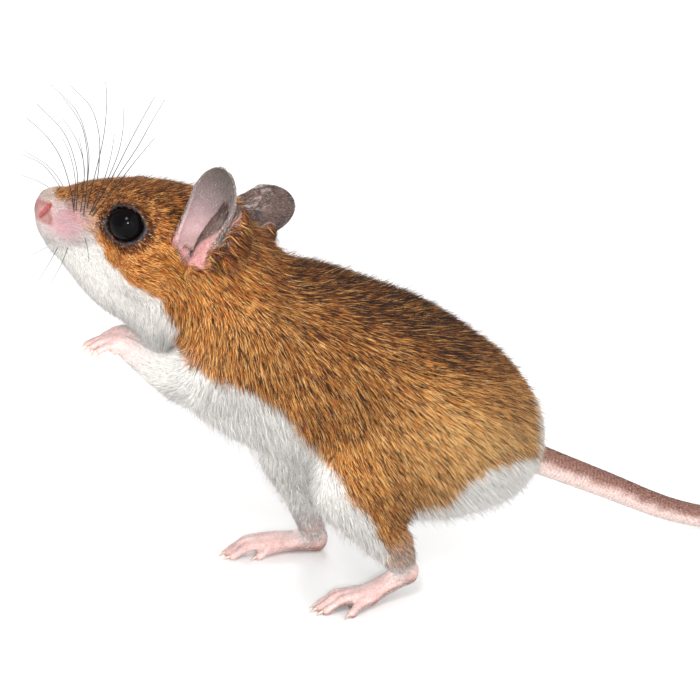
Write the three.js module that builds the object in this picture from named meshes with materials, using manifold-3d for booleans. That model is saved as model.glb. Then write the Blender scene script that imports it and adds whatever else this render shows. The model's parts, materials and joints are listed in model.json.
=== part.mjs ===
// A long-tailed field mouse at life size, in millimetres, standing on its hind feet with its head raised.
// The mouse faces -X, its left side is towards -Y, and the floor is the plane z = 0.
// The furred solids reach to the tips of the coat; feet, hands, ears, nose and tail are bare skin.
import * as THREE from "three";
import { mergeVertices } from "three/addons/utils/BufferGeometryUtils.js";
import Module from "manifold-3d";

const wasm = await Module();
wasm.setup();

// ---- Driving dimensions ------------------------------------------------------------------------
const GAP = 0.3; // between neighbouring solids
const FLOOR = 0;
const HEAD_TURN = 22; // degrees that the head looks to the mouse's right
const EYE_RADIUS = 3.1;
const EAR_HALF_WIDTH = 4.4;
const EAR_WALL = 0.6;
const EAR_WRAP_ROOT = 118; // degrees that half the wall wraps round the ear's axis at the root
const EAR_WRAP_TIP = 52;
const EAR_ROOT_WIDTH = 0.55; // of the full width
const EAR_WIDEST = 0.6; // of the length, up from the root
const EAR_BOW = 1.6; // how far the middle of the ear's back bulges
const FOOT_LENGTH = 14.6; // hind foot, from the heel to the tip of the middle toe, without its claw
const HAND_LENGTH = 7.1; // from the wrist to the tip of the middle finger, without its claw
const CLAW_LENGTH = 1.3;
const TAIL_BASE_RADIUS = 2.3;
const TAIL_TIP_RADIUS = 0.6;
const TAIL_CUTS = [0, 0.22, 0.46, 0.72, 1]; // of the tail's length
const SIDES = [
  { side: "left", s: -1 },
  { side: "right", s: 1 },
];

// Cell sizes of the surface meshes.
const TRUNK_CELL = 5.05;
const HEAD_CELL = 2.7;
const LEG_CELL = 3.3;
const ARM_CELL = 2.2;

// ---- Landmarks ---------------------------------------------------------------------------------
// Stations of the furred forms: x, y, z of the middle, r half the height, w the width over the height.
const TRUNK = [
  { x: -21.0, y: 1, z: 48.6, r: 10.0, w: 0.87 }, // nape
  { x: -16.8, y: 0, z: 42.3, r: 13.9, w: 0.86 }, // shoulders
  { x: -7.2, y: 0, z: 37.1, r: 15.9, w: 0.87 }, // ribs
  { x: 4.0, y: 0, z: 31.7, r: 15.9, w: 0.9 }, // loin
  { x: 13.6, y: 0, z: 25.3, r: 15.1, w: 0.94 }, // hips
  { x: 19.3, y: 0, z: 21.8, r: 12.2, w: 0.95 }, // rump
];
// The head and throat are placed as if the mouse looked straight ahead, and turned afterwards.
const NECK_PIVOT = { x: -19, y: 0 };
const HEAD = [
  { x: -46.6, y: 0, z: 61.8, r: 1.9, w: 1.0 }, // nose
  { x: -43.3, y: 0, z: 61.4, r: 3.8, w: 0.95 }, // whisker pads
  { x: -39.3, y: 0, z: 60.7, r: 5.9, w: 0.82 }, // bridge
  { x: -34.3, y: 0, z: 59.6, r: 7.6, w: 0.86 }, // eyes
  { x: -28.8, y: 0, z: 58.2, r: 8.7, w: 0.92 }, // ears
  { x: -24.0, y: 0, z: 56.0, r: 9.3, w: 0.92 }, // back of the head
  { x: -20.0, y: 0, z: 52.0, r: 8.9, w: 0.95 }, // neck
];
const THROAT = [
  { x: -44.5, y: 0, z: 58.5, r: 2.4, w: 1.0 }, // chin
  { x: -40.0, y: 0, z: 54.5, r: 4.4, w: 1.0 }, // jaw
  { x: -35.0, y: 0, z: 51.0, r: 5.8, w: 1.0 }, // throat
  { x: -29.0, y: 0, z: 46.5, r: 6.6, w: 1.05 }, // gullet
];
const CHEEK = { x: -30.5, y: 4.4, z: 55.5, r: 5.0, w: 0.8 };
const EYE = { x: -33.2, y: 4.8, z: 61.9 };

// Each ear: its root on the head, its tip, and the way that its hollow faces.
const EARS = {
  left: { root: [-22.6, -6.2, 58.6], tip: [-17.2, -9.6, 72.7], faces: [-0.6, -0.8, 0.0] },
  right: { root: [-22.6, 6.2, 58.6], tip: [-10.7, 14.0, 58.9], faces: [-0.56, 0.82, 0.0] },
};

// Each side's limbs. The right hind foot is a short step ahead, and the right hand is tucked in lower.
const LEGS = {
  left: {
    thigh: [
      { x: 11.2, y: -7.5, z: 24.4, r: 11.9, w: 0.72 },
      { x: 3.5, y: -8.8, z: 22.5, r: 9.6, w: 0.7 },
      { x: -2.0, y: -9.8, z: 20.0, r: 6.6, w: 0.75 },
    ],
    shank: [
      { x: -1.2, y: -10.0, z: 19.4, r: 6.4, w: 0.75 },
      { x: 1.6, y: -10.6, z: 12.8, r: 4.3, w: 0.85 },
      { x: 4.8, y: -10.9, z: 7.6, r: 2.4, w: 1.0 },
    ],
    heel: { x: 6.2, y: -10.9, z: 4.5 },
    outward: 5, // degrees
  },
  right: {
    thigh: [
      { x: 9.5, y: 7.5, z: 25.0, r: 11.4, w: 0.72 },
      { x: 0.5, y: 8.8, z: 21.5, r: 9.4, w: 0.7 },
      { x: -6.2, y: 9.6, z: 18.2, r: 5.7, w: 0.78 },
    ],
    shank: [
      { x: -5.8, y: 9.7, z: 17.2, r: 5.6, w: 0.78 },
      { x: -4.8, y: 9.8, z: 10.6, r: 3.6, w: 0.85 },
      { x: -3.8, y: 9.9, z: 5.2, r: 2.1, w: 1.0 },
    ],
    heel: { x: -3.0, y: 9.9, z: 1.8 },
    outward: 8,
  },
};
const ARMS = {
  left: {
    upper: [
      { x: -17.5, y: -7.0, z: 43.0, r: 8.0, w: 0.7 },
      { x: -22.5, y: -7.8, z: 40.0, r: 6.2, w: 0.7 },
      { x: -26.8, y: -7.8, z: 39.4, r: 4.0, w: 0.8 },
    ],
    forearm: [
      { x: -26.8, y: -7.8, z: 39.4, r: 3.8, w: 0.8 },
      { x: -31.6, y: -7.5, z: 41.6, r: 2.8, w: 0.9 },
      { x: -35.0, y: -7.2, z: 43.8, r: 1.8, w: 1.0 },
    ],
    wrist: { x: -35.2, y: -7.2, z: 44.0 },
    rise: 37, // degrees above level that the palm points
    outward: 4,
  },
  right: {
    upper: [
      { x: -17.0, y: 7.0, z: 43.0, r: 8.0, w: 0.7 },
      { x: -21.5, y: 7.6, z: 39.5, r: 6.0, w: 0.7 },
      { x: -25.2, y: 7.4, z: 38.0, r: 4.2, w: 0.78 },
    ],
    forearm: [
      { x: -25.2, y: 7.4, z: 38.0, r: 4.0, w: 0.78 },
      { x: -28.8, y: 6.9, z: 39.4, r: 2.6, w: 0.9 },
      { x: -31.8, y: 6.3, z: 41.2, r: 1.6, w: 1.0 },
    ],
    wrist: { x: -31.9, y: 6.3, z: 41.3 },
    rise: 14,
    outward: -10,
  },
};

// The tail's middle line: down from the rump, then along the floor in a slow bend.
const TAIL = [
  [28.0, 0.0, 17.8],
  [42.0, 0.3, 10.6],
  [54.0, 0.6, 4.5],
  [64.0, 0.2, 1.7],
  [76.0, -1.6, 1.2],
  [90.0, -1.4, 0.95],
  [104.0, 3.2, 0.7],
  [112.0, 7.6, 0.5],
];

// The planes that part the body: a point on each, and the direction of the piece that it ends.
const NECK_PLANE = { at: [-24.0, 0, 52.5], normal: [-0.84, 0, 0.54] }; // the head's own
const MOUTH_PLANE = { at: [-46.0, 0, 58.6], normal: [0.2, 0, -0.98] };
const JAW_PLANE = { at: [-37.0, 0, 57.0], normal: [-0.9, 0, 0.44] };
const NOSE_PLANE = { at: [-45.6, 0, 61.5], normal: [-1, 0, 0.1] };
const SHOULDER_PLANE = { at: [-17.0, 0, 46.0], normal: [-0.62, 0, 0.78] };

// The limbs are cut from the body by round-ended bands. Each starts this far out from the middle.
const BANDS = {
  thigh: { inner: 6.5, radius: 9.5 },
  shank: { inner: 4.2, radius: 8.4 },
  upperArm: { inner: 5.0, radius: 5.5 },
  forearm: { inner: 3.2, radius: 4.6 },
};

// ---- Smooth forms ------------------------------------------------------------------------------
const mix = (a, b, t) => a + (b - a) * t;

// A smooth curve through stations, as many closely spaced ones.
function refine(stations, perSpan = 5) {
  const places = new THREE.CatmullRomCurve3(stations.map((p) => new THREE.Vector3(p.x, p.y, p.z)));
  const sizes = new THREE.CatmullRomCurve3(stations.map((p) => new THREE.Vector3(p.r, p.w, 0)));
  const count = (stations.length - 1) * perSpan;
  return Array.from({ length: count + 1 }, (_, i) => {
    const at = places.getPoint(i / count);
    const size = sizes.getPoint(i / count);
    return { x: at.x, y: at.y, z: at.z, r: size.x, w: size.y };
  });
}

// Distance to the rounded form that swells along refined stations. w stretches it sideways.
function swept(stations) {
  const fine = stations.length > 1 ? refine(stations) : [stations[0], stations[0]];
  return (x, y, z) => {
    let least = Infinity;
    for (let i = 1; i < fine.length; i++) {
      const a = fine[i - 1];
      const b = fine[i];
      const [ex, ey, ez] = [b.x - a.x, b.y - a.y, b.z - a.z];
      const span = ex * ex + ey * ey + ez * ez;
      const along = span ? ((x - a.x) * ex + (y - a.y) * ey + (z - a.z) * ez) / span : 0;
      const t = Math.min(Math.max(along, 0), 1);
      const w = mix(a.w, b.w, t);
      const dx = x - mix(a.x, b.x, t);
      const dy = (y - mix(a.y, b.y, t)) / w;
      const dz = z - mix(a.z, b.z, t);
      least = Math.min(least, Math.hypot(dx, dy, dz) - mix(a.r, b.r, t));
    }
    return least;
  };
}

// Joins two distances with a fillet about k wide.
const fillet = (a, b, k) => {
  const h = Math.max(k - Math.abs(a - b), 0) / k;
  return Math.min(a, b) - (h * h * k) / 4;
};

// Turns a point about the neck's upright axis: way 1 takes the head from straight ahead to where it looks.
function turned(x, y, z, way) {
  const angle = THREE.MathUtils.degToRad(HEAD_TURN) * way;
  const [dx, dy] = [x - NECK_PIVOT.x, y - NECK_PIVOT.y];
  const [c, s] = [Math.cos(angle), Math.sin(angle)];
  return [NECK_PIVOT.x + c * dx + s * dy, NECK_PIVOT.y - s * dx + c * dy, z];
}

// The furred head, neck and trunk as one distance: negative inside the coat.
function furredCore() {
  const trunk = swept(TRUNK);
  const head = swept(HEAD);
  const throat = swept(THROAT);
  const cheeks = SIDES.map(({ s }) => swept([{ ...CHEEK, y: CHEEK.y * s }]));
  return (x, y, z) => {
    const ahead = turned(x, y, z, -1);
    let d = fillet(head(...ahead), throat(...ahead), 4);
    for (const cheek of cheeks) d = fillet(d, cheek(...ahead), 3);
    return fillet(d, trunk(x, y, z), 5);
  };
}

// The same with the furred parts of the limbs.
function furredBody(core) {
  const limbs = SIDES.flatMap(({ side }) => [
    { form: swept(LEGS[side].thigh), k: 5 },
    { form: swept(LEGS[side].shank), k: 3.5 },
    { form: swept(ARMS[side].upper), k: 4 },
    { form: swept(ARMS[side].forearm), k: 2 },
  ]);
  return (x, y, z) => limbs.reduce((d, { form, k }) => fillet(d, form(x, y, z), k), core(x, y, z));
}

// ---- Meshes ------------------------------------------------------------------------------------
// The surface where distance is zero, inside the box from low to high, as quads cut in two.
// Each cell that the surface crosses gets one vertex, which is then slid onto the surface.
function surfaceOf(distance, low, high, cell) {
  const size = [0, 1, 2].map((k) => Math.ceil((high[k] - low[k]) / cell) + 2);
  const at = (...steps) => steps.map((step, axis) => low[axis] + (step - 0.5) * cell);
  const inBox = (...p) => Math.max(...p.map((v, axis) => Math.max(low[axis] - v, v - high[axis])));
  const bounded = (x, y, z) => Math.max(distance(x, y, z), inBox(x, y, z));
  const index = (i, j, k) => (k * size[1] + j) * size[0] + i;
  const value = new Float64Array(size[0] * size[1] * size[2]);
  for (let k = 0; k < size[2]; k++)
    for (let j = 0; j < size[1]; j++)
      for (let i = 0; i < size[0]; i++) value[index(i, j, k)] = bounded(...at(i, j, k)) || 1e-9;

  const corners = [0, 1, 2, 3, 4, 5, 6, 7].map((c) => [c & 1, (c >> 1) & 1, (c >> 2) & 1]);
  const edges = [];
  for (let a = 0; a < 8; a++)
    for (let b = a + 1; b < 8; b++) if ([1, 2, 4].includes(a ^ b)) edges.push([a, b]);

  const vertexOf = new Map();
  const positions = [];
  for (let k = 0; k < size[2] - 1; k++)
    for (let j = 0; j < size[1] - 1; j++)
      for (let i = 0; i < size[0] - 1; i++) {
        const v = corners.map(([a, b, c]) => value[index(i + a, j + b, k + c)]);
        const inside = v.filter((d) => d < 0).length;
        if (inside === 0 || inside === 8) continue;
        const sum = new THREE.Vector3();
        let crossings = 0;
        for (const [a, b] of edges) {
          if (v[a] < 0 === v[b] < 0) continue;
          const t = v[a] / (v[a] - v[b]);
          const from = new THREE.Vector3(...corners[a]);
          sum.add(from.lerp(new THREE.Vector3(...corners[b]), t));
          crossings++;
        }
        sum.divideScalar(crossings);
        const p = slide(bounded, new THREE.Vector3(...at(i + sum.x, j + sum.y, k + sum.z)), cell);
        vertexOf.set(index(i, j, k), positions.length / 3);
        positions.push(p.x, p.y, p.z);
      }

  const triangles = [];
  const steps = [[1, 0, 0], [0, 1, 0], [0, 0, 1]];
  for (let k = 0; k < size[2] - 1; k++)
    for (let j = 0; j < size[1] - 1; j++)
      for (let i = 0; i < size[0] - 1; i++)
        steps.forEach((step, axis) => {
          const here = value[index(i, j, k)];
          const there = value[index(i + step[0], j + step[1], k + step[2])];
          if (here < 0 === there < 0) return;
          const [u, w] = [steps[(axis + 1) % 3], steps[(axis + 2) % 3]];
          const ring = [[0, 0], [1, 0], [1, 1], [0, 1]].map(([a, b]) => {
            const [x, y, z] = [i, j, k].map((n, m) => n - a * u[m] - b * w[m]);
            return vertexOf.get(index(x, y, z));
          });
          if (here >= 0) ring.reverse();
          triangles.push(ring[0], ring[1], ring[2], ring[0], ring[2], ring[3]);
        });
  const geometry = new THREE.BufferGeometry();
  geometry.setAttribute("position", new THREE.Float32BufferAttribute(positions, 3));
  geometry.setIndex(triangles);
  return geometry;
}

// Moves a vertex along the gradient towards the surface, by at most half a cell.
function slide(distance, p, cell) {
  const e = 0.02;
  const d = distance(p.x, p.y, p.z);
  const gradient = new THREE.Vector3(
    distance(p.x + e, p.y, p.z) - distance(p.x - e, p.y, p.z),
    distance(p.x, p.y + e, p.z) - distance(p.x, p.y - e, p.z),
    distance(p.x, p.y, p.z + e) - distance(p.x, p.y, p.z - e),
  ).divideScalar(2 * e);
  const square = Math.max(gradient.lengthSq(), 0.05);
  return p.clone().addScaledVector(gradient, -d / square).sub(p).clampLength(0, cell / 2).add(p);
}

// A closed tube along points with a radius at each; flat squeezes it along up. Its ends are round, or
// cut square, or square at the start with a round tip.
function tube(points, radii, { sides = 8, flat = 1, up = [0, 0, 1], steps = 0, ends = "round" } = {}) {
  const curve = new THREE.CatmullRomCurve3(points.map((p) => new THREE.Vector3(...p)));
  const count = steps || (points.length - 1) * 2;
  const radiusAt = (t) => {
    const f = t * (radii.length - 1);
    const i = Math.min(Math.floor(f), radii.length - 2);
    return mix(radii[i], radii[i + 1], f - i);
  };
  const rings = [];
  for (let i = 0; i <= count; i++) {
    const t = i / count;
    rings.push({ at: curve.getPoint(t), along: curve.getTangent(t), r: radiusAt(t) });
  }
  const [first, last] = [rings[0], rings.at(-1)];
  const shifted = ({ at, along }, distance) => at.clone().addScaledVector(along, distance);
  const cap = (ring, sign) => ({ ...ring, at: shifted(ring, sign * ring.r * 0.66), r: ring.r * 0.72 });
  const [roundStart, roundEnd] = [ends === "round", ends !== "flat"];
  if (roundStart) rings.unshift(cap(first, -1));
  if (roundEnd) rings.push(cap(last, 1));
  const upward = new THREE.Vector3(...up);
  const positions = [];
  for (const { at, along, r } of rings) {
    const across = new THREE.Vector3().crossVectors(upward, along).normalize();
    const raised = new THREE.Vector3().crossVectors(along, across).normalize();
    for (let j = 0; j < sides; j++) {
      const angle = (2 * Math.PI * (j + 0.5)) / sides;
      const p = at.clone().addScaledVector(across, Math.cos(angle) * r);
      p.addScaledVector(raised, Math.sin(angle) * r * flat);
      positions.push(p.x, p.y, p.z);
    }
  }
  const startPole = shifted(first, roundStart ? -first.r * 0.95 : 0);
  const endPole = shifted(last, roundEnd ? last.r * 0.95 : 0);
  for (const p of [startPole, endPole]) positions.push(p.x, p.y, p.z);
  const triangles = [];
  const pole = rings.length * sides;
  const end = (rings.length - 1) * sides;
  for (let j = 0; j < sides; j++) {
    const next = (j + 1) % sides;
    for (let i = 0; i < rings.length - 1; i++) {
      const [a, b] = [i * sides + j, i * sides + next];
      triangles.push(a, b, b + sides, a, b + sides, a + sides);
    }
    triangles.push(pole, next, j, pole + 1, end + j, end + next);
  }
  const geometry = new THREE.BufferGeometry();
  geometry.setAttribute("position", new THREE.Float32BufferAttribute(positions, 3));
  geometry.setIndex(triangles);
  return geometry;
}

// ---- Solids ------------------------------------------------------------------------------------
function solid(geometry) {
  const bare = geometry.clone();
  const extras = Object.keys(bare.attributes).filter((name) => name !== "position");
  for (const name of extras) bare.deleteAttribute(name);
  const merged = mergeVertices(bare, 1e-4);
  const mesh = new wasm.Mesh({
    numProp: 3,
    vertProperties: merged.attributes.position.array,
    triVerts: new Uint32Array(merged.index.array),
  });
  return new wasm.Manifold(mesh);
}

function geometryOf(manifold) {
  const mesh = manifold.getMesh();
  const geometry = new THREE.BufferGeometry();
  geometry.setAttribute("position", new THREE.Float32BufferAttribute(mesh.vertProperties, 3));
  geometry.setIndex(new THREE.BufferAttribute(mesh.triVerts, 1));
  geometry.computeVertexNormals();
  return geometry;
}

const joined = (manifolds) => manifolds.reduce((whole, next) => whole.add(next));

// A large block that fills the side of a plane to which normal points, from offset beyond the plane.
function halfSpace(at, normal, offset = 0) {
  const size = 260;
  const direction = new THREE.Vector3(...normal).normalize();
  const turn = new THREE.Quaternion().setFromUnitVectors(new THREE.Vector3(0, 0, 1), direction);
  const corner = new THREE.Vector3(...at).addScaledVector(direction, offset);
  const block = new THREE.BoxGeometry(size, size, size).translate(0, 0, size / 2);
  return solid(block.applyQuaternion(turn).translate(...corner.toArray()));
}

// The solid's part on one side of a plane, half a gap from it: side 1 is where the plane's normal points.
function keep(manifold, plane, side) {
  const away = plane.normal.map((n) => -n * side);
  return manifold.subtract(halfSpace(plane.at, away, -GAP / 2));
}

// A round-ended band from a to b as seen from the side, through all of the body beyond inner.
function band(s, { inner, radius }, a, b, grow) {
  const depth = 40;
  const turn = Math.atan2(b[1] - a[1], b[0] - a[0]);
  const outline = new THREE.Shape();
  outline.absarc(a[0], a[1], radius + grow, turn + Math.PI / 2, turn + 1.5 * Math.PI, false);
  outline.absarc(b[0], b[1], radius + grow, turn - Math.PI / 2, turn + Math.PI / 2, false);
  const prism = new THREE.ExtrudeGeometry(outline, { depth, curveSegments: 8, bevelEnabled: false });
  const start = inner - grow;
  return solid(prism.translate(0, 0, s < 0 ? start : -start - depth).rotateX(Math.PI / 2));
}

const core = furredCore();
const body = furredBody(core);
const piece = (low, high, cell, distance = body) => solid(surfaceOf(distance, low, high, cell));

// ---- Parts -------------------------------------------------------------------------------------
const materials = {
  fur: new THREE.MeshStandardMaterial({ color: 0xa5672f, roughness: 0.85, metalness: 0 }),
  skin: new THREE.MeshStandardMaterial({ color: 0xe3bdb2, roughness: 0.6, metalness: 0 }),
  ear: new THREE.MeshStandardMaterial({ color: 0x6f5a53, roughness: 0.6, metalness: 0 }),
  tail: new THREE.MeshStandardMaterial({ color: 0xb38f86, roughness: 0.65, metalness: 0 }),
  eye: new THREE.MeshStandardMaterial({ color: 0x08070a, roughness: 0.08, metalness: 0 }),
  claw: new THREE.MeshStandardMaterial({ color: 0xd9c3a6, roughness: 0.4, metalness: 0 }),
};

const mouse = new THREE.Group();
const headGroup = new THREE.Group();
const pivot = new THREE.Vector3(NECK_PIVOT.x, NECK_PIVOT.y, 0);
headGroup.rotation.z = -THREE.MathUtils.degToRad(HEAD_TURN);
headGroup.position.copy(pivot).sub(pivot.clone().applyEuler(headGroup.rotation));
mouse.add(headGroup);

function add(group, name, manifold, material) {
  const mesh = new THREE.Mesh(geometryOf(manifold), materials[material].clone());
  mesh.name = name;
  group.add(mesh);
}

function buildHead(arms) {
  // The head is built as if it looked straight ahead, so the arms are turned back to meet it.
  headGroup.updateMatrix();
  const back = headGroup.matrix.clone().invert();
  const straight = (x, y, z) => core(...turned(x, y, z, 1));
  let head = piece([-50, -13, 38], [-14, 13, 72], HEAD_CELL, straight);
  head = keep(head, NECK_PLANE, 1);
  for (const arm of arms) head = head.subtract(solid(geometryOf(arm).applyMatrix4(back)));
  for (const { side, s } of SIDES) {
    const eyeball = (radius) => {
      const ball = new THREE.SphereGeometry(radius, 12, 7).rotateX(Math.PI / 2);
      return solid(ball.translate(EYE.x, EYE.y * s, EYE.z));
    };
    head = head.subtract(eyeball(EYE_RADIUS + GAP));
    add(headGroup, `eye_${side}`, eyeball(EYE_RADIUS), "eye");
  }
  add(headGroup, "nose", keep(head, NOSE_PLANE, 1), "skin");
  head = keep(head, NOSE_PLANE, -1);
  const jaw = keep(keep(head, MOUTH_PLANE, 1), JAW_PLANE, 1);
  add(headGroup, "lower_jaw", jaw, "fur");
  const mouthSide = halfSpace(MOUTH_PLANE.at, MOUTH_PLANE.normal, -GAP / 2);
  const jawSide = halfSpace(JAW_PLANE.at, JAW_PLANE.normal, -GAP / 2);
  add(headGroup, "head", head.subtract(mouthSide.intersect(jawSide)), "fur");

  const nearHead = (x, y, z) => straight(x, y, z) - GAP;
  for (const { side, s } of SIDES) {
    const inner = s < 0 ? -14 : 2;
    const clear = piece([-32, inner, 48], [-6, inner + 12, 70], HEAD_CELL, nearHead);
    add(headGroup, `ear_${side}`, solid(earShell(EARS[side], s)).subtract(clear), "ear");
  }
}

// A pinna: a scoop whose wall wraps nearly round at the root and opens out towards a round tip.
function earShell({ root, tip, faces }, s) {
  const rows = 7;
  const columns = 7;
  const base = new THREE.Vector3(...root);
  const axis = new THREE.Vector3(...tip).sub(base);
  const length = axis.length();
  axis.normalize();
  const front = new THREE.Vector3(...faces);
  front.addScaledVector(axis, -front.dot(axis)).normalize();
  const across = new THREE.Vector3().crossVectors(axis, front).multiplyScalar(s);
  const positions = [];
  const wall = (inset) => {
    for (let i = 0; i < rows; i++) {
      const t = i / (rows - 1);
      const beyond = Math.max(t - EAR_WIDEST, 0) / (1 - EAR_WIDEST);
      const swell = mix(EAR_ROOT_WIDTH, 1, Math.min(t / EAR_WIDEST, 1) ** 0.8);
      const half = EAR_HALF_WIDTH * Math.min(swell, Math.sqrt(Math.max(1 - beyond ** 2, 0.02)));
      const open = Math.min(t / 0.7, 1);
      const wrap = THREE.MathUtils.degToRad(mix(EAR_WRAP_ROOT, EAR_WRAP_TIP, open));
      const radius = half / Math.sin(Math.min(wrap, Math.PI / 2));
      const spine = base.clone().addScaledVector(axis, t * length);
      spine.addScaledVector(front, radius - EAR_BOW * Math.sin(Math.PI * t));
      for (let j = 0; j < columns; j++) {
        const angle = wrap * mix(-1, 1, j / (columns - 1));
        const p = spine.clone().addScaledVector(front, -Math.cos(angle) * (radius - inset));
        p.addScaledVector(across, Math.sin(angle) * (radius - inset));
        positions.push(p.x, p.y, p.z);
      }
    }
  };
  wall(0);
  wall(EAR_WALL);
  const triangles = [];
  const quad = (a, b, c, d) => triangles.push(a, b, c, a, c, d);
  const inside = rows * columns;
  const id = (i, j) => i * columns + j;
  for (let i = 0; i < rows - 1; i++) {
    for (let j = 0; j < columns - 1; j++) {
      quad(id(i, j), id(i, j + 1), id(i + 1, j + 1), id(i + 1, j));
      const [p, q] = [inside + id(i, j), inside + id(i + 1, j)];
      quad(p, q, q + 1, p + 1);
    }
    const last = columns - 1;
    quad(id(i, 0), id(i + 1, 0), inside + id(i + 1, 0), inside + id(i, 0));
    quad(id(i, last), inside + id(i, last), inside + id(i + 1, last), id(i + 1, last));
  }
  for (let j = 0; j < columns - 1; j++) {
    const top = rows - 1;
    quad(id(0, j), inside + id(0, j), inside + id(0, j + 1), id(0, j + 1));
    quad(id(top, j), id(top, j + 1), inside + id(top, j + 1), inside + id(top, j));
  }
  if (s > 0) triangles.reverse();
  const geometry = new THREE.BufferGeometry();
  geometry.setAttribute("position", new THREE.Float32BufferAttribute(positions, 3));
  geometry.setIndex(triangles);
  return geometry;
}

// The claw beyond a digit's end, curving down from it but clear of the floor.
function claw(end, along, radius) {
  const level = along.clone().setZ(Math.max(along.z, -0.25)).normalize();
  const start = end.clone().addScaledVector(along, radius * 0.95 + GAP);
  start.z = Math.max(start.z, FLOOR + 0.45);
  const tip = start.clone().addScaledVector(level, CLAW_LENGTH * 0.8);
  tip.z = Math.max(tip.z - 0.25, FLOOR + 0.32);
  return tube([start.toArray(), tip.toArray()], [0.36, 0.25], { sides: 5, steps: 1, ends: "tip" });
}

// Digits spread from a hand or foot. Each is a tube along three points in the limb's own frame.
function digits(prefix, specs, toWorld, radii, s) {
  const solids = [];
  specs.forEach(({ name, root, knuckle, tip }) => {
    const points = [root, knuckle, tip].map(([x, y, z]) => toWorld(x, y * s, z));
    solids.push(solid(tube(points.map((p) => p.toArray()), radii, { sides: 6, steps: 2 })));
    const along = points[2].clone().sub(points[1]).normalize();
    add(mouse, `claw_${prefix}_${name}`, solid(claw(points[2], along, radii.at(-1))), "claw");
  });
  return solids;
}

// A frame whose x runs from the limb's own origin to its digits, for a mouse that faces -X.
function limbFrame(at, outward, s, rise = 0) {
  const yaw = THREE.MathUtils.degToRad(180 - outward * s);
  const pitch = THREE.MathUtils.degToRad(-rise);
  const frame = new THREE.Matrix4().makeTranslation(at.x, at.y, at.z);
  frame.multiply(new THREE.Matrix4().makeRotationZ(yaw));
  frame.multiply(new THREE.Matrix4().makeRotationY(pitch));
  return (x, y, z) => new THREE.Vector3(x, -y, z).applyMatrix4(frame);
}

function buildLeg({ side, s }) {
  const { thigh, shank, heel, outward } = LEGS[side];
  const [hip, knee] = [thigh[0], thigh[2]];
  const ankle = shank[2];
  const region = (grow) => {
    const upper = band(s, BANDS.thigh, [hip.x - 0.5, hip.z - 1.5], [knee.x + 1, knee.z + 0.5], grow);
    const lower = band(s, BANDS.shank, [knee.x + 3, knee.z - 1], [ankle.x + 1, ankle.z - 6], grow);
    return upper.add(lower);
  };
  const kneePlane = { at: [knee.x + 2, 0, knee.z - 4.5], normal: [0.25, 0, -0.97] };
  const anklePlane = { at: [ankle.x, ankle.y, ankle.z], normal: [0.35, 0, -0.94] };
  const y = s < 0 ? [-22, 0] : [0, 22];
  let leg = piece([-22, y[0], 2], [26, y[1], 44], LEG_CELL).intersect(region(0));
  leg = keep(leg, anklePlane, -1);
  add(mouse, `thigh_${side}`, keep(leg, kneePlane, -1), "fur");
  add(mouse, `shank_${side}`, keep(leg, kneePlane, 1), "fur");
  buildFoot(side, s, heel, ankle, anklePlane, outward);
  return region(GAP);
}

function buildFoot(side, s, heel, ankle, anklePlane, outward) {
  const L = FOOT_LENGTH;
  const origin = { x: heel.x, y: heel.y, z: 0 };
  const toWorld = limbFrame(origin, outward, s);
  const at = (x, y, z) => toWorld(x, y * s, z).toArray();
  const ball = 0.55 * L;
  const specs = [
    { name: 1, root: [0.46 * L, -1.3, 1.6], knuckle: [0.56 * L, -2.0, 1.2], tip: [0.64 * L, -2.4, 0.5] },
    { name: 2, root: [ball, -1.0, 2.0], knuckle: [0.76 * L, -1.6, 1.9], tip: [0.93 * L, -1.9, 0.5] },
    { name: 3, root: [ball, 0, 2.0], knuckle: [0.79 * L, -0.3, 2.0], tip: [0.96 * L, -0.5, 0.5] },
    { name: 4, root: [ball, 1.0, 2.0], knuckle: [0.76 * L, 1.0, 1.9], tip: [0.93 * L, 0.9, 0.5] },
    { name: 5, root: [0.46 * L, 1.3, 1.6], knuckle: [0.59 * L, 2.4, 1.3], tip: [0.7 * L, 3.1, 0.5] },
  ];
  const solids = digits(`foot_${side}`, specs, toWorld, [0.8, 0.78, 0.65], s);
  const sole = [at(0, 0, heel.z), at(0.28 * L, 0, mix(heel.z, 1.8, 0.6)), at(ball + 0.5, 0, 1.4)];
  solids.push(solid(tube(sole, [1.75, 1.9, 2.2], { steps: 2, flat: 0.8 })));
  const cuff = [[ankle.x, ankle.y, ankle.z + 1], at(0.3, 0, heel.z + 0.1)];
  solids.push(keep(solid(tube(cuff, [2.1, 1.7], { steps: 1 })), anklePlane, 1));
  const foot = joined(solids).subtract(halfSpace([0, 0, FLOOR], [0, 0, -1]));
  add(mouse, `foot_${side}`, foot, "skin");
}

function buildArm({ side, s }) {
  const { upper, forearm, wrist, rise, outward } = ARMS[side];
  const [shoulder, elbow, hand] = [upper[0], forearm[0], forearm[2]];
  const region = (grow) => {
    const above = band(s, BANDS.upperArm, [shoulder.x - 1, shoulder.z - 2.5], [elbow.x, elbow.z], grow);
    const below = band(s, BANDS.forearm, [elbow.x - 1, elbow.z], [hand.x - 3, hand.z + 2], grow);
    return above.add(below);
  };
  const elbowPlane = { at: [elbow.x - 0.5, 0, elbow.z + 0.5], normal: [-0.8, 0, 0.6] };
  const wristPlane = { at: [wrist.x, wrist.y, wrist.z], normal: [-0.8, 0, 0.6] };
  const y = s < 0 ? [-18, 0] : [0, 18];
  let arm = piece([-40, y[0], 28], [-8, y[1], 50], ARM_CELL).intersect(region(0));
  arm = keep(arm, wristPlane, -1);
  add(mouse, `upper_arm_${side}`, keep(arm, elbowPlane, -1), "fur");
  add(mouse, `forearm_${side}`, keep(arm, elbowPlane, 1), "fur");
  buildHand(side, s, wrist, wristPlane, rise, outward);
  return region(GAP);
}

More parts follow.
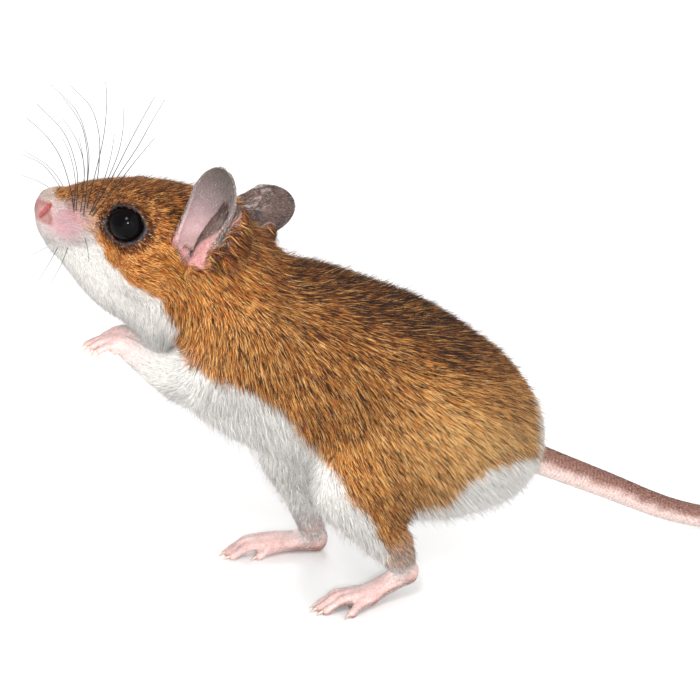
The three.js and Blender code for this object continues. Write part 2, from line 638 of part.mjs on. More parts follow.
function buildHand(side, s, wrist, wristPlane, rise, outward) {
  const L = HAND_LENGTH;
  const toWorld = limbFrame(wrist, outward, s, rise);
  const at = (x, y, z) => toWorld(x, y * s, z).toArray();
  const specs = [
    { name: 2, root: [0.46 * L, -0.8, 0], knuckle: [0.7 * L, -1.3, -0.6], tip: [0.85 * L, -1.7, -1.9] },
    { name: 3, root: [0.5 * L, -0.2, 0], knuckle: [0.76 * L, -0.5, -0.7], tip: [0.92 * L, -0.8, -2.2] },
    { name: 4, root: [0.5 * L, 0.4, 0], knuckle: [0.75 * L, 0.4, -0.7], tip: [0.91 * L, 0.3, -2.2] },
    { name: 5, root: [0.46 * L, 1.0, 0], knuckle: [0.66 * L, 1.3, -0.6], tip: [0.8 * L, 1.4, -1.9] },
  ];
  const solids = digits(`hand_${side}`, specs, toWorld, [0.58, 0.55, 0.5], s);
  const palm = [at(-1.2, 0, 0), at(0.25 * L, 0, 0.3), at(0.5 * L, 0, 0.2)];
  solids.push(keep(solid(tube(palm, [1.4, 1.6, 1.6], { steps: 2 })), wristPlane, 1));
  solids.push(solid(tube([at(0.25 * L, -0.9, -0.5), at(0.36 * L, -1.7, -0.9)], [0.6, 0.5], { sides: 6 })));
  add(mouse, `hand_${side}`, joined(solids), "skin");
}

function buildTail(trunk) {
  const curve = new THREE.CatmullRomCurve3(TAIL.map((p) => new THREE.Vector3(...p)));
  const gap = GAP / curve.getLength();
  const count = TAIL_CUTS.length - 1;
  const steps = 4;
  for (let i = 0; i < count; i++) {
    const from = TAIL_CUTS[i];
    const to = TAIL_CUTS[i + 1] - (i < count - 1 ? gap : 0);
    const ts = Array.from({ length: steps + 1 }, (_, k) => mix(from, to, k / steps));
    const points = ts.map((t) => curve.getPointAt(t).toArray());
    const radii = ts.map((t) => mix(TAIL_BASE_RADIUS, TAIL_TIP_RADIUS, t ** 1.1));
    let length = solid(tube(points, radii, { steps, ends: i === count - 1 ? "tip" : "flat" }));
    length = length.subtract(halfSpace([0, 0, FLOOR], [0, 0, -1]));
    if (i === 0) length = length.subtract(trunk);
    add(mouse, `tail_${i + 1}`, length, "tail");
  }
}

function buildTrunk(limbs) {
  let trunk = piece([-36, -20, 2], [36, 20, 68], TRUNK_CELL, core);
  for (const limb of limbs) trunk = trunk.subtract(limb);
  const ahead = keep(trunk, SHOULDER_PLANE, 1);
  const neckEnd = { at: turned(...NECK_PLANE.at, 1), normal: turnedWay(NECK_PLANE.normal) };
  add(mouse, "neck", keep(ahead, neckEnd, -1), "fur");
  add(mouse, "trunk", keep(trunk, SHOULDER_PLANE, -1), "fur");
}

// A direction in the straight head's frame, as it is once the head is turned.
function turnedWay(normal) {
  const origin = turned(0, 0, 0, 1);
  return turned(...normal, 1).map((value, i) => value - origin[i]);
}

const legs = SIDES.map(buildLeg);
const arms = SIDES.map(buildArm);
buildHead(arms);
buildTrunk([...legs, ...arms]);
buildTail(piece([18, -16, 6], [38, 16, 36], TRUNK_CELL, (x, y, z) => body(x, y, z) - GAP));

// The mouse stands centred over the origin, on the floor.
const box = new THREE.Box3().setFromObject(mouse, true);
const centre = box.getCenter(new THREE.Vector3());
mouse.position.set(-centre.x, -centre.y, -box.min.z);

export default mouse;
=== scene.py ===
"""The looks of a long-tailed field mouse: a skin, eyes, claws, a coat of solid hairs, and whiskers."""
import json
import math

import bpy
import numpy as np
import openvdb
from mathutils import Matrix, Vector
from mathutils.kdtree import KDTree

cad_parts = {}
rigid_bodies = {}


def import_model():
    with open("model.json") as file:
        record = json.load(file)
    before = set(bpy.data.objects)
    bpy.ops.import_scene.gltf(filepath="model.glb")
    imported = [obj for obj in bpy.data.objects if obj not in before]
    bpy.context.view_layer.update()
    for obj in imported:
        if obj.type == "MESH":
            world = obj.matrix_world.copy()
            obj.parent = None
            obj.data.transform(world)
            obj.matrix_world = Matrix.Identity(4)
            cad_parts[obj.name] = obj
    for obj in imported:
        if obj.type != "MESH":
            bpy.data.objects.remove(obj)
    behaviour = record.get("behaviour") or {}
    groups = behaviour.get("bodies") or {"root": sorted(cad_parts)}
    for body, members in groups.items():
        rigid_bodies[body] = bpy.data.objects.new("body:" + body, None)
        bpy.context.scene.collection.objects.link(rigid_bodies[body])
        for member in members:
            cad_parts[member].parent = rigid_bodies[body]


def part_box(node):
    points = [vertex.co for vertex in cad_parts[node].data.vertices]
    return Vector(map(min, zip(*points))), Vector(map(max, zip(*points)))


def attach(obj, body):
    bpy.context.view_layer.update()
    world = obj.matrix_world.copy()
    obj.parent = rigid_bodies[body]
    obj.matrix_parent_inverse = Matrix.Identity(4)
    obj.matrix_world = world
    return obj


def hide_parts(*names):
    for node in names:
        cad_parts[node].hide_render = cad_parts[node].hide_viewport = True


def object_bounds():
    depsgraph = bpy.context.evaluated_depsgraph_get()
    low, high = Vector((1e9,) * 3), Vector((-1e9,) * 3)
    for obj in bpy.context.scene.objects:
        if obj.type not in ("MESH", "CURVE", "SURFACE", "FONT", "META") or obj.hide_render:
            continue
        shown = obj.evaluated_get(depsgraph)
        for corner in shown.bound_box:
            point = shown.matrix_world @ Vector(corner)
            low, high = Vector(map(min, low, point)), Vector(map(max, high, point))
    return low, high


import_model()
cad_low, cad_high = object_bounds()

# Everything is worked out in millimetres in the mouse's own frame: it faces -X, its left side is -Y, the
# floor is z = 0. The head's details are in the head's own frame, in which it looks straight ahead.
HEAD_TURN = math.radians(22)
NECK_PIVOT = np.array([-19.0, 0.0])
EYE = np.array([-33.2, 4.8, 61.9])
EYE_RADIUS = 3.1
FOOT_LENGTH = 14.6
HAND_LENGTH = 7.1
VOXEL = 0.30
HAIRS = 340000
SIDES = {"left": -1, "right": 1}

# Stations: x, y, z, radius out to the coat's tips, width over height, depth of the coat.
TRUNK = [
    (-21.0, 1, 48.6, 10.0, 0.87, 1.3), (-16.8, 0, 42.3, 13.9, 0.86, 1.6), (-7.2, 0, 37.1, 15.9, 0.87, 1.7),
    (4.0, 0, 31.7, 15.9, 0.90, 1.7), (13.6, 0, 25.3, 15.1, 0.94, 1.7), (19.3, 0, 21.8, 12.2, 0.95, 1.5),
]
HEAD = [
    (-46.6, 0, 61.8, 1.9, 1.00, 0.10), (-43.3, 0, 61.4, 3.8, 0.95, 0.25), (-39.3, 0, 60.7, 5.9, 0.82, 0.45),
    (-34.3, 0, 59.6, 7.6, 0.86, 0.60), (-28.8, 0, 58.2, 8.7, 0.92, 0.80), (-24.0, 0, 56.0, 9.3, 0.92, 1.0),
    (-20.0, 0, 52.0, 8.9, 0.95, 1.1),
]
THROAT = [
    (-44.5, 0, 58.5, 2.4, 1.0, 0.3), (-40.0, 0, 54.5, 4.4, 1.0, 0.7), (-35.0, 0, 51.0, 5.8, 1.0, 1.0),
    (-29.0, 0, 47.2, 5.7, 1.05, 1.1),
]
CHEEK = (-30.5, 4.4, 55.5, 5.0, 0.8, 0.7)
# Outward is how far a foot or hand turns out, and rise how far a hand tips up, in degrees.
LEGS = {
    "left": {
        "thigh": [(11.2, -7.5, 24.4, 11.9, 0.72, 1.5), (3.5, -8.8, 22.5, 9.6, 0.70, 1.4),
                  (-2.0, -9.8, 20.0, 6.6, 0.75, 1.2)],
        "shank": [(-1.2, -10.0, 19.4, 6.4, 0.75, 1.2), (1.6, -10.6, 12.8, 4.3, 0.85, 0.9),
                  (4.8, -10.9, 7.6, 2.4, 1.0, 0.3)],
        "heel": (6.2, -10.9, 4.5), "outward": 5,
    },
    "right": {
        "thigh": [(9.5, 7.5, 25.0, 11.4, 0.72, 1.5), (0.5, 8.8, 21.5, 9.4, 0.70, 1.4),
                  (-6.2, 9.6, 18.2, 5.7, 0.78, 1.1)],
        "shank": [(-5.8, 9.7, 17.2, 5.6, 0.78, 1.1), (-4.8, 9.8, 10.6, 3.6, 0.85, 0.7),
                  (-3.8, 9.9, 5.2, 2.1, 1.0, 0.15)],
        "heel": (-3.0, 9.9, 1.8), "outward": 8,
    },
}
ARMS = {
    "left": {
        "upper_arm": [(-17.5, -7.0, 43.0, 8.0, 0.70, 1.4), (-22.5, -7.8, 40.0, 6.2, 0.70, 1.2),
                      (-26.8, -7.8, 39.4, 4.0, 0.80, 0.9)],
        "forearm": [(-26.8, -7.8, 39.4, 3.8, 0.80, 0.8), (-31.6, -7.5, 41.2, 2.5, 0.90, 0.4),
                    (-35.0, -7.2, 43.7, 1.55, 1.0, 0.05)],
        "wrist": (-35.2, -7.2, 44.0), "rise": 37, "outward": 4,
    },
    "right": {
        "upper_arm": [(-17.0, 7.0, 43.0, 8.0, 0.70, 1.4), (-21.5, 7.6, 39.5, 6.0, 0.70, 1.2),
                      (-25.2, 7.4, 38.0, 4.2, 0.78, 0.9)],
        "forearm": [(-25.2, 7.4, 38.0, 4.0, 0.78, 0.8), (-28.8, 6.9, 39.4, 2.6, 0.90, 0.4),
                    (-31.8, 6.3, 41.2, 1.6, 1.0, 0.1)],
        "wrist": (-31.9, 6.3, 41.3), "rise": 14, "outward": -10,
    },
}
TAIL = [
    (28.0, 0.0, 17.8), (42.0, 0.3, 10.6), (54.0, 0.6, 4.5), (64.0, 0.2, 1.7), (76.0, -1.6, 1.2),
    (90.0, -1.4, 0.95), (104.0, 3.2, 0.7), (112.0, 7.6, 0.5),
]
TAIL_RADII = (2.3, 0.6)
# Base is the ear's width at its root as a share of the whole, and swell how late it widens.
EARS = {
    "left": {"root": (-22.6, -6.2, 58.6), "tip": (-17.2, -9.6, 72.3), "faces": (-0.6, -0.8, 0.0),
             "base": 0.55, "swell": 0.8},
    "right": {"root": (-22.6, 6.2, 58.6), "tip": (-10.7, 14.0, 58.9), "faces": (-0.56, 0.82, 0.0),
              "base": 0.42, "swell": 1.5},
}
EAR_HALF_WIDTH = 4.25
EAR_WIDEST = 0.6  # share of the ear's length, up from the root


def unit(v):
    v = np.asarray(v, float)
    return v / np.maximum(np.linalg.norm(v, axis=-1, keepdims=True), 1e-9)


def mix(a, b, t):
    return a + (b - a) * t


def step(low, high, x):
    """0 below low, 1 above high, and smooth between."""
    t = np.clip((x - low) / (high - low), 0, 1)
    return t * t * (3 - 2 * t)


# ---- Smooth forms ----
def spline(points, count):
    """count + 1 points on the smooth curve through points."""
    p = np.asarray(points, float)
    p = np.vstack([2 * p[0] - p[1], p, 2 * p[-1] - p[-2]])
    out = []
    for f in np.linspace(0, len(points) - 1, count + 1):
        i = min(int(f), len(points) - 2)
        a, b, c, d = p[i:i + 4]
        t = f - i
        da, db, dc = [max(np.sum((v - u) ** 2) ** 0.25, 1e-4) for u, v in ((a, b), (b, c), (c, d))]
        m = ((b - a) / da - (c - a) / (da + db) + (c - b) / db) * db
        n = ((c - b) / db - (d - b) / (db + dc) + (d - c) / dc) * db
        bend = (3 * c - 3 * b - 2 * m - n) * t * t
        out.append(b + m * t + bend + (2 * b - 2 * c + m + n) * t ** 3)
    return np.array(out)


class Form:
    """A rounded form that swells along stations. With coat it reaches to the tips of the hair."""

    def __init__(self, stations, per=5):
        s = np.array(stations, float).reshape(-1, 6)
        if len(s) == 1:
            s = np.vstack([s, s + [1e-3, 0, 0, 0, 0, 0]])
        count = (len(s) - 1) * per
        sizes = spline(np.column_stack([s[:, 3:5], np.zeros(len(s))]), count)
        depth = np.interp(np.linspace(0, len(s) - 1, count + 1), np.arange(len(s)), s[:, 5])
        self.at = spline(s[:, :3], count)
        self.width = sizes[:, 1]
        self.coat = sizes[:, 0]
        self.skin = self.coat - depth
        reach = (self.coat * np.maximum(self.width, 1))[:, None]
        self.low, self.high = (self.at - reach).min(0), (self.at + reach).max(0)
        self.start = self.at[:-1].astype(np.float32)
        self.span = np.diff(self.at, axis=0).astype(np.float32)
        self.square = np.maximum(np.einsum("ij,ij->i", self.span, self.span), 1e-9)

    def each(self, p, coat=False):
        """Distances from points to each stretch of the form, and how far along it they are."""
        a, e = self.start, self.span
        radius = (self.coat if coat else self.skin).astype(np.float32)
        width = self.width.astype(np.float32)
        p = p.astype(np.float32)
        t = np.clip((p @ e.T - np.einsum("ij,ij->i", a, e)) / self.square, 0, 1)
        square = (p[:, :1] - a[:, 0] - t * e[:, 0]) ** 2
        square += ((p[:, 1:2] - a[:, 1] - t * e[:, 1]) / (width[:-1] + t * np.diff(width))) ** 2
        square += (p[:, 2:] - a[:, 2] - t * e[:, 2]) ** 2
        return np.sqrt(square) - (radius[:-1] + t * np.diff(radius)), t

    def distance(self, p, coat=False, batch=8192):
        parts = [self.each(p[i:i + batch], coat)[0].min(1) for i in range(0, len(p), batch)]
        return np.concatenate(parts)

    def nearest(self, p):
        """Distance to the form, its direction there, and the share of its length."""
        d, t = self.each(p)
        i = d.argmin(1)
        rows = np.arange(len(p))
        return d[rows, i], unit(self.span[i]), (i + t[rows, i]) / len(self.span)

    def close_to(self, p, margin):
        """Which points are within margin of the form's box."""
        return np.all((p > self.low - margin) & (p < self.high + margin), axis=1)


def bare(points, radii, width=1.0, per=4):
    """A form without a coat, from points and a radius at each."""
    return Form([(*p, r, width, 0.0) for p, r in zip(points, radii)], per)


def fillet(a, b, k):
    """Joins two distances with a fillet about k wide."""
    h = np.maximum(k - np.abs(a - b), 0) / k
    return np.minimum(a, b) - h * h * k / 4


def carve(a, b, k):
    """Takes b out of a, with edges rounded over about k."""
    return -fillet(-a, b, k)


REACH = 3.2  # how far beyond a form its distance is worked out


def join(d, p, forms, coat=False, how=fillet):
    """Joins forms to a distance, or with carve takes them out of it. Each comes with its fillet's width."""
    for form, k in forms:
        near = form.close_to(p, k + REACH)
        if near.any():
            d[near] = how(d[near], form.distance(p[near], coat), k)
    return d


def turned(p, way):
    """Turns points about the neck: way 1 takes the head from straight ahead to where it looks."""
    c, s = math.cos(HEAD_TURN * way), math.sin(HEAD_TURN * way)
    q = np.array(p, float)
    dx, dy = (q[..., 0] - NECK_PIVOT[0]).copy(), (q[..., 1] - NECK_PIVOT[1]).copy()
    q[..., 0] = NECK_PIVOT[0] + c * dx + s * dy
    q[..., 1] = NECK_PIVOT[1] - s * dx + c * dy
    return q


def turned_way(v, way):
    return turned(np.asarray(v, float), way) - turned(np.zeros(3), way)


def limb_frame(at, outward, s, rise=0.0):
    """Points of a hand or foot, x towards its digits and y outwards, to where it is on the mouse."""
    yaw, pitch = math.radians(180 - outward * s), math.radians(-rise)
    c, k = math.cos(yaw), math.sin(yaw)
    turn = np.array([[c, -k, 0], [k, c, 0], [0, 0, 1]])
    c, k = math.cos(pitch), math.sin(pitch)
    turn = turn @ np.array([[c, 0, k], [0, 1, 0], [-k, 0, c]])
    return lambda x, y, z: turn @ np.array([x, -y * s, z]) + np.array(at, float)


# ---- The mouse's forms ----
head_form, throat_form = Form(HEAD), Form(THROAT)
cheek_forms = [Form([(CHEEK[0], CHEEK[1] * s, *CHEEK[2:])]) for s in SIDES.values()]
trunk_form = Form(TRUNK)
head_joins = [(head_form, 1.0), (throat_form, 4.0)] + [(form, 3.0) for form in cheek_forms]
LIMBS = {"thigh": (LEGS, 5.0), "shank": (LEGS, 3.5), "upper_arm": (ARMS, 4.0), "forearm": (ARMS, 2.0)}
limb_forms = [(name, Form(limbs[side][name]), k) for side in SIDES for name, (limbs, k) in LIMBS.items()]
body_joins = [(trunk_form, 5.0)] + [(form, k) for _, form, k in limb_forms]
tail_points = spline(TAIL, 70)
tail_lengths = np.concatenate([[0], np.cumsum(np.linalg.norm(np.diff(tail_points, axis=0), axis=1))])
tail_share = tail_lengths / tail_lengths[-1]
tail_form = bare(tail_points, mix(TAIL_RADII[0], TAIL_RADII[1], tail_share ** 1.1), per=1)


def toe_forms(at, toes):
    """The bare forms of the toes, each with a pad under its tip, and their ends for the claws."""
    forms, ends = [], []
    for n, places in enumerate(toes):
        root, knuckle, tip = [at(*place) for place in places]
        toe = [root, knuckle, mix(knuckle, tip, 0.55), tip]
        pad = [mix(knuckle, tip, 0.9) - [0, 0, 0.06], tip - [0, 0, 0.02]]
        forms.append((bare(toe, [0.8, 0.78, 0.62, 0.60]), 0.35))
        forms.append((bare(pad, [0.6, 0.56]), 0.2))
        ends.append((knuckle, tip, 0.6, n + 1))
    return forms, ends


def foot_forms(side):
    """The bare forms of a hind foot, and each digit's last two points with its radius, for the claws."""
    leg, length = LEGS[side], FOOT_LENGTH
    heel, ankle = leg["heel"], np.array(leg["shank"][2][:3])
    at = limb_frame((heel[0], heel[1], 0), leg["outward"], SIDES[side])
    ball = 0.55 * length
    forms, ends = toe_forms(at, [
        [(0.44 * length, -1.2, 1.7), (0.55 * length, -2.0, 1.5), (0.64 * length, -2.4, 0.62)],
        [(ball - 1.5, -0.9, 2.1), (0.76 * length, -1.6, 2.0), (0.93 * length, -1.9, 0.62)],
        [(ball - 1.5, 0.0, 2.2), (0.79 * length, -0.3, 2.1), (0.97 * length, -0.5, 0.62)],
        [(ball - 1.5, 0.9, 2.1), (0.76 * length, 1.0, 2.0), (0.93 * length, 0.9, 0.62)],
        [(0.43 * length, 1.2, 1.8), (0.58 * length, 2.3, 1.6), (0.70 * length, 3.1, 0.62)],
    ])
    rise = mix(heel[2], 1.8, 0.6)
    sole = [at(0, 0, heel[2]), at(0.28 * length, 0, rise), at(ball - 1.5, 0, 1.75), at(ball + 0.6, 0, 1.5)]
    forms.append((bare(sole, [1.5, 1.5, 1.6, 1.45], 1.25), 0.8))
    forms.append((bare([ankle + [0, 0, 2], ankle, at(0.3, 0, heel[2] + 0.1)], [2.0, 1.95, 1.6]), 0.9))
    forms.append((bare([at(-0.6, 0, heel[2] + 0.7), at(-0.2, 0, heel[2] - 0.2)], [1.2, 1.25]), 0.6))
    for y in (-0.9, 0.0, 0.9):  # the tendons on top of the foot
        start = at(0.16 * length, 0.3 * y, mix(heel[2], rise, 0.5) + 1.45)
        tendon = [start, at(ball - 1.4, y, 2.65), at(ball + 0.9, 1.3 * y, 2.45)]
        forms.append((bare(tendon, [0.25, 0.33, 0.4]), 0.5))
    return forms, ends


def hand_forms(side):
    """The bare forms of a hand, and each finger's last two points with its radius, for the claws."""
    arm, length = ARMS[side], HAND_LENGTH
    at = limb_frame(arm["wrist"], arm["outward"], SIDES[side], arm["rise"])
    fingers = [
        [(0.42 * length, -0.8, 0.1), (0.7 * length, -1.35, -0.5), (0.85 * length, -1.75, -1.9)],
        [(0.44 * length, -0.25, 0.2), (0.76 * length, -0.5, -0.55), (0.92 * length, -0.8, -2.2)],
        [(0.44 * length, 0.35, 0.2), (0.75 * length, 0.4, -0.55), (0.91 * length, 0.35, -2.2)],
        [(0.42 * length, 0.95, 0.1), (0.66 * length, 1.3, -0.5), (0.8 * length, 1.45, -1.9)],
    ]
    forms, ends = [], []
    for n, places in enumerate(fingers):
        root, knuckle, tip = [at(*place) for place in places]
        forms.append((bare([root, knuckle, tip], [0.62, 0.56, 0.5]), 0.3))
        ends.append((knuckle, tip, 0.5, n + 2))
    palm = [at(-1.4, 0, 0), at(0.2 * length, 0, 0.25), at(0.5 * length, 0, 0.15)]
    thumb = [at(0.22 * length, -0.9, -0.7), at(0.36 * length, -1.6, -1.0)]
    forms.append((bare(palm, [1.35, 1.45, 1.2], 1.15), 0.7))
    forms.append((bare(thumb, [0.6, 0.45]), 0.4))
    for x, y in ((0.5, -0.8), (0.53, 0.2), (0.5, 1.0), (0.12, 0.7), (0.14, -0.6)):  # pads of the palm
        forms.append((bare([at(x * length, y, -0.95), at(x * length - 0.3, y, -0.95)], [0.5, 0.5]), 0.35))
    return forms, ends


feet = {side: foot_forms(side) for side in SIDES}
hands = {side: hand_forms(side) for side in SIDES}

# The head's details, in its own frame. Each form comes with the width of its fillet.
NOSTRIL = np.array([(-47.0, 2.25, 61.55), (-46.3, 2.45, 62.4), (-45.6, 2.45, 63.3)])
nose_forms = [
    (bare([(-46.0, 0, 63.0), (-45.2, 0, 63.3)], [1.85, 1.9]), 1.0),
    (bare([(-45.2, 0, 56.9), (-43.5, 0, 56.3)], [1.5, 2.0]), 1.5),  # the chin
]
nose_cuts = []
for s in SIDES.values():
    wing = [(-46.1, 0.75 * s, 62.2), (-45.2, 1.2 * s, 63.2)]
    whisker_pad = [(-45.4, 1.25 * s, 59.9), (-43.0, 2.2 * s, 60.1), (-40.6, 2.9 * s, 60.4)]
    mouth = [(-47.3, 0.0, 57.9), (-45.0, 2.1 * s, 57.5), (-42.2, 3.1 * s, 57.6)]
    nose_forms.append((bare(wing, [1.15, 1.2]), 0.8))
    nose_forms.append((bare(whisker_pad, [2.0, 2.5, 2.3]), 1.5))
    nose_cuts.append((bare([nostril * [1, s, 1] for nostril in NOSTRIL], [0.26, 0.40, 0.24]), 0.25))
    nose_cuts.append((bare(mouth, [0.28, 0.26, 0.12]), 0.4))
nose_cuts.append((bare([(-48.0, 0, 61.9), (-47.6, 0, 60.2), (-47.2, 0, 58.2)], [0.22, 0.2, 0.2]), 0.35))
NOSE_LOW, NOSE_HIGH = np.array([-54.0, -9, 50]), np.array([-33.0, 9, 72])


def eye_frame(s):
    """The eye's middle, and its outward, forward and upward directions."""
    out = unit(np.array([-0.20, 0.96 * s, 0.17]))
    forward = unit(np.array([-1.0, 0, 0.12]) - np.array([-1.0, 0, 0.12]) @ out * out)
    up = np.cross(forward, out) * s
    return EYE * [1, s, 1], out, forward, up * np.sign(up[2])


def eye_polar(q, s):
    """Distance from the eye's middle, angle from its outward axis, and angle from forward to up round it."""
    middle, out, forward, up = eye_frame(s)
    rel = q - middle
    rho = np.linalg.norm(rel, axis=1)
    theta = np.arccos(np.clip(rel @ out / np.maximum(rho, 1e-6), -1, 1))
    return rho, theta, np.arctan2(rel @ up, rel @ forward)


def lid_opening(phi):
    """The half angle of the opening between the lids, pointed at the front corner and a little behind."""
    front = np.exp(-((phi + 0.05) / 0.30) ** 2)
    behind = np.exp(-((np.abs(phi) - math.pi) / 0.28) ** 2)
    opening = math.radians(59) + math.radians(4.5) * np.cos(2 * phi) + math.radians(10) * front
    return opening + math.radians(4) * behind


LID_GAP, LID_HALF = 0.24, 0.28  # between eye and lid's middle, and half the lid's thickness


def shape_eye(d, q, s):
    near = np.linalg.norm(q - EYE * [1, s, 1], axis=1) < EYE_RADIUS + 4.5
    if not near.any():
        return d
    rho, theta, phi = eye_polar(q[near], s)
    opening = lid_opening(phi)
    shell = np.abs(rho - EYE_RADIUS - LID_GAP) - LID_HALF
    edge = (opening - theta) * rho
    lid = np.maximum(shell, edge) + 0.12
    lid = np.maximum(lid, (theta - opening - 0.36) * rho * 0.6)
    here = fillet(d[near], lid - 0.12, 0.9)
    # A shallow fold just outside the lid, and nothing in front of the eye itself.
    fold = np.hypot(rho - EYE_RADIUS - 0.85, (theta - opening - 0.34) * rho) - 0.16
    here = carve(here, fold, 0.5)
    here = carve(here, np.maximum((theta - opening) * rho, EYE_RADIUS * 0.3 - rho), 0.25)
    d[near] = np.maximum(here, EYE_RADIUS - rho)
    return d


def ear_frame(side):
    """The ear's root, its axes up, forward and across, and its length."""
    ear = EARS[side]
    root, tip = np.array(ear["root"]), np.array(ear["tip"])
    axis = unit(tip - root)
    front = np.array(ear["faces"])
    front = unit(front - front @ axis * axis)
    return root, axis, front, np.cross(axis, front) * SIDES[side], np.linalg.norm(tip - root)


def ear_polar(q, side):
    """Share of the ear's length, angle round its hollow, distance from the hollow's middle line, the ear's
    radius and greatest angle there, and its length."""
    root, axis, front, across, length = ear_frame(side)
    rel = q - root
    t = rel @ axis / length
    up = np.clip(t, 0, 1)
    wrap = mix(math.radians(118), math.radians(52), np.minimum(up / 0.7, 1))
    widening = np.minimum(up / EAR_WIDEST, 1) ** EARS[side]["swell"]
    full = mix(EARS[side]["base"], 1, widening) * EAR_HALF_WIDTH
    radius = full / np.sin(np.minimum(wrap, math.pi / 2))
    beyond = np.clip((up - EAR_WIDEST) / 0.4, 0, 1)
    rounded = np.arcsin(np.clip(full * np.sqrt(1 - beyond ** 2) / radius, 0, 1))
    limit = np.where(up < EAR_WIDEST, wrap, np.minimum(wrap, rounded))
    depth = rel @ front - (radius - 1.6 * np.sin(math.pi * up))
    side_way = rel @ across
    return t, np.arctan2(side_way, -depth), np.hypot(side_way, depth), radius, limit, length


def ear_lobes(side):
    """The rear flap that folds over the ear's opening, and the furry mound behind it."""
    root, axis, front, across, _ = ear_frame(side)

    def at(along, forward, sideways):
        return root + axis * along + front * forward + across * sideways

    flap = [at(8.7, -1.7, -1.9), at(6.4, 0.0, -2.3), at(3.4, 1.1, -2.5), at(0.6, 1.3, -2.3)]
    mound = [at(8.2, -2.6, -2.6), at(5.6, -2.4, -3.8), at(2.6, -1.6, -4.6)]
    return bare(flap, [1.2, 1.75, 1.95, 1.7]), bare(mound, [1.0, 1.7, 2.1])


def ear_wall(t):
    """Thickness of the ear's wall, from its share of the ear's length."""
    return mix(0.85, 0.42, np.clip(t * 1.6, 0, 1))


def ear_distance(q, side):
    t, angle, rho, radius, limit, length = ear_polar(q, side)
    wall = ear_wall(t)
    rim = 0.10 * np.exp(-(((limit - np.abs(angle)) * radius - 0.25) / 0.35) ** 2)
    shell = np.abs(rho - radius + wall / 2) - wall / 2 - rim
    edge = (np.abs(angle) - limit) * radius
    ends = np.maximum((t - 1) * length, (-t) * length - 2.5)
    return -fillet(-shell, -np.maximum(edge, ends), 0.35)


def shape_ears(d, q):
    for side in SIDES:
        root, axis, front, _, length = ear_frame(side)
        middle = root + axis * length * 0.45
        near = np.linalg.norm(q - middle, axis=1) < length * 0.5 + 6.5
        if not near.any():
            continue
        p = q[near]
        t, _, rho, radius, _, _ = ear_polar(p, side)
        bulb = bare([root - axis * 0.9 - front * 0.4, root + axis * 0.8], [2.0, 2.4]).distance(p)
        here = fillet(d[near], bulb, 2.0)
        hollow = np.maximum(rho - radius + ear_wall(t), (0.02 - t) * length)
        hollow = np.maximum(hollow, (t - 0.9) * length)
        here = carve(here, hollow + 0.05, 0.5)
        here = fillet(here, ear_distance(p, side), 0.6)
        flap, mound = ear_lobes(side)
        d[near] = fillet(fillet(here, mound.distance(p), 2.2), flap.distance(p), 0.35)
    return d


def shape_nose(d, q):
    near = np.all((q > NOSE_LOW) & (q < NOSE_HIGH), axis=1)
    if near.any():
        here = join(d[near], q[near], nose_forms)
        d[near] = join(here, q[near], nose_cuts, how=carve)
    return d


def flesh(p, coat=False):
    """Distance to the mouse's skin, or to its coat's tips. Eyes, claws and whiskers aren't part of it."""
    p = np.asarray(p, float)
    q = turned(p, -1)
    d = join(np.full(len(p), 1e3), q, head_joins, coat)
    d = join(d, p, body_joins, coat)
    if coat:
        return d
    for side in SIDES:
        d = join(d, p, feet[side][0] + hands[side][0])
    d = join(d, p, [(tail_form, 1.5)])
    d = shape_nose(d, q)
    for s in SIDES.values():
        d = shape_eye(d, q, s)
    d = shape_ears(d, q)
    return np.maximum(d, -p[:, 2])


# ---- The skin's surface ----
BLOCK = 5  # cells along each edge of a block
FAR = 3.0  # distances are held within this


def surface(distance, low, high, cell):
    """Vertices and quads where distance is zero. It's worked out only in the blocks near the surface."""
    size = (np.ceil((high - low) / cell / BLOCK).astype(int)) * BLOCK
    grid = np.full(size, FAR, np.float32)
    counts = [np.arange(n // BLOCK) for n in size]
    blocks = np.stack(np.meshgrid(*counts, indexing="ij"), -1).reshape(-1, 3)
    far = distance(low + (blocks * BLOCK + (BLOCK - 1) / 2) * cell)
    reach = BLOCK * cell * 0.87 * 1.5 + 0.3
    for i, j, k in blocks[far < -reach] * BLOCK:
        grid[i:i + BLOCK, j:j + BLOCK, k:k + BLOCK] = -FAR
    chosen = blocks[np.abs(far) <= reach] * BLOCK
    inner = np.stack(np.meshgrid(*[np.arange(BLOCK)] * 3, indexing="ij"), -1).reshape(-1, 3)
    batch = 1600
    for start in range(0, len(chosen), batch):
        part = chosen[start:start + batch]
        index = (part[:, None, :] + inner[None]).reshape(-1, 3)
        grid[index[:, 0], index[:, 1], index[:, 2]] = np.clip(distance(low + index * cell), -FAR, FAR)
    volume = openvdb.FloatGrid(background=FAR)
    volume.copyFromArray(grid)
    points, quads = volume.convertToQuads(isovalue=0.0)
    points = low + np.asarray(points, float) * cell
    return slid(distance, points, cell), np.asarray(quads, int)


def slope(distance, p, e=0.03):
    """The direction in which distance grows."""
    g = np.empty((len(p), 3))
    for axis in range(3):
        shift = np.zeros(3)
        shift[axis] = e
        g[:, axis] = (distance(p + shift) - distance(p - shift)) / (2 * e)
    return g


def slid(distance, p, cell):
    """Points moved onto the surface, by less than half a cell."""
    g = slope(distance, p)
    move = -distance(p)[:, None] * g / np.maximum(np.einsum("ij,ij->i", g, g), 0.1)[:, None]
    length = np.linalg.norm(move, axis=1, keepdims=True)
    return p + move * np.minimum(1, 0.4 * cell / np.maximum(length, 1e-9))


eye_low, eye_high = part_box("eye_left")
SHIFT = turned(EYE * [1, -1, 1], 1) - np.array((eye_low + eye_high) / 2) * 1000


def placed(p):
    """Millimetres in the mouse's frame as metres in the row's."""
    return (np.asarray(p, float) - SHIFT) / 1000


